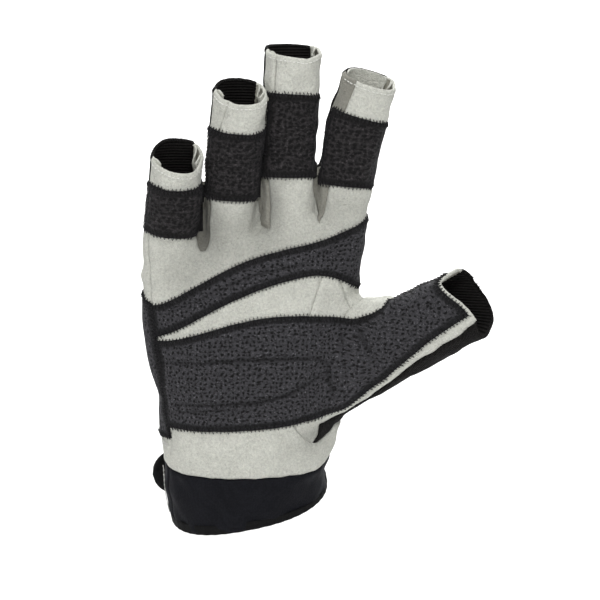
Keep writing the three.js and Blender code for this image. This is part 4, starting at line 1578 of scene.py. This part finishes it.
ends = [np.arange(len(section)), np.arange(len(section)) + len(section) * (len(strap_rings) - 1)]
caps = []
for k, end in enumerate(ends):
    for i in range(1, len(end) - 1):
        tri = (end[0], end[i], end[i + 1])
        caps.append(tri if k else tri[::-1])
strap_cloth["tris"] = np.concatenate([strap_cloth["tris"], np.array(caps)])
tilt_x, tilt_y = STRAP_TILT
turn_x = np.array([
    [1, 0, 0],
    [0, math.cos(tilt_x), -math.sin(tilt_x)],
    [0, math.sin(tilt_x), math.cos(tilt_x)],
])
turn_y = np.array([
    [math.cos(tilt_y), 0, math.sin(tilt_y)],
    [0, 1, 0],
    [-math.sin(tilt_y), 0, math.cos(tilt_y)],
])
strap_turn = turn_x @ turn_y
strap_place = np.array((top_row[1] / 2, top_row[2] / 2, STRAP_LIFT))
strap_cloth["points"] = strap_cloth["points"] @ strap_turn.T + strap_place
STRAP_CLOTH = cloth_material("strap cloth", JERSEY, STRAP, 0.4, 0.02, GREY_TINT, 0.15, Cells=1200.0)
piece = cloth_piece("back_strap", strap_cloth, [STRAP_CLOTH])
seat(piece, "strap", "wrist_strap")

# The floor and the light
# A plain white floor that curves up behind the glove, with soft lamps at the sides and above.
FLOOR_Z = -0.06
FLOOR_FLAT = 0.9
FLOOR_CURVE = 0.8
PAPER = (0.86, 0.86, 0.86, 1)
DAYLIGHT = 0.34
GLOVE_MIDDLE = Vector((0.02, -0.01, 0.09))
bpy.ops.object.select_all(action="DESELECT")
bpy.ops.mesh.primitive_grid_add(x_subdivisions=2, y_subdivisions=40, size=2, location=(0, 0, 0))
floor = bpy.context.object
floor.name = "floor"
for corner in floor.data.vertices:
    x, y, z = corner.co
    run = (y + 1) * 2.4 - 1.4
    rise = 0
    if run > FLOOR_FLAT:
        angle = min((run - FLOOR_FLAT) / FLOOR_CURVE, math.pi / 2)
        rise = FLOOR_CURVE * (1 - math.cos(angle)) + max(0, run - FLOOR_FLAT - FLOOR_CURVE * math.pi / 2)
        run = FLOOR_FLAT + FLOOR_CURVE * math.sin(angle)
    corner.co = (x * 3.5, run, FLOOR_Z + rise)
floor.data.shade_smooth()
paper = bpy.data.materials.new("white paper")
paper.use_nodes = True
paper_shader = paper.node_tree.nodes["Principled BSDF"]
paper_shader.inputs["Base Color"].default_value = PAPER
paper_shader.inputs["Roughness"].default_value = 0.9
floor.data.materials.append(paper)

world = bpy.data.worlds.new("studio")
world.use_nodes = True
world.node_tree.nodes["Background"].inputs[0].default_value = (1, 1, 1, 1)
world.node_tree.nodes["Background"].inputs[1].default_value = DAYLIGHT
bpy.context.scene.world = world
LAMPS = [
    # name, place, watts, size across in metres
    ("key", (0.12, -0.8, 0.98), 8.3, 0.4),
    ("fill", (-0.8, -0.7, 0.3), 1.2, 0.8),
    ("top", (0.0, -0.1, 1.0), 1.0, 0.6),
    ("floor lamp", (0.0, 1.0, 1.0), 26, 1.3),
]
for name, place, watts, size in LAMPS:
    lamp = bpy.data.lights.new(name, "AREA")
    lamp.energy = watts
    lamp.size = size
    holder = bpy.data.objects.new(name, lamp)
    holder.location = place
    aim = (Vector((0, 1, 0)) if name == "floor lamp" else GLOVE_MIDDLE) - Vector(place)
    holder.rotation_euler = aim.to_track_quat("-Z", "Y").to_euler()
    bpy.context.collection.objects.link(holder)
bpy.context.scene.view_settings.view_transform = "Standard"

# The camera
# It looks at the palm from a little above, from far enough to keep the fingers straight.
TARGET = Vector((0.0218, -0.012, 0.0889))
CAMERA_FAR = 0.945
CAMERA_UP = math.radians(10)
camera = bpy.data.cameras.new("camera")
camera.lens = 135
camera.sensor_width = 36
eye = bpy.data.objects.new("camera", camera)
eye.location = TARGET + Vector((0, -math.cos(CAMERA_UP), math.sin(CAMERA_UP))) * CAMERA_FAR
eye.rotation_euler = (TARGET - eye.location).to_track_quat("-Z", "Y").to_euler()
bpy.context.collection.objects.link(eye)
bpy.context.scene.camera = eye
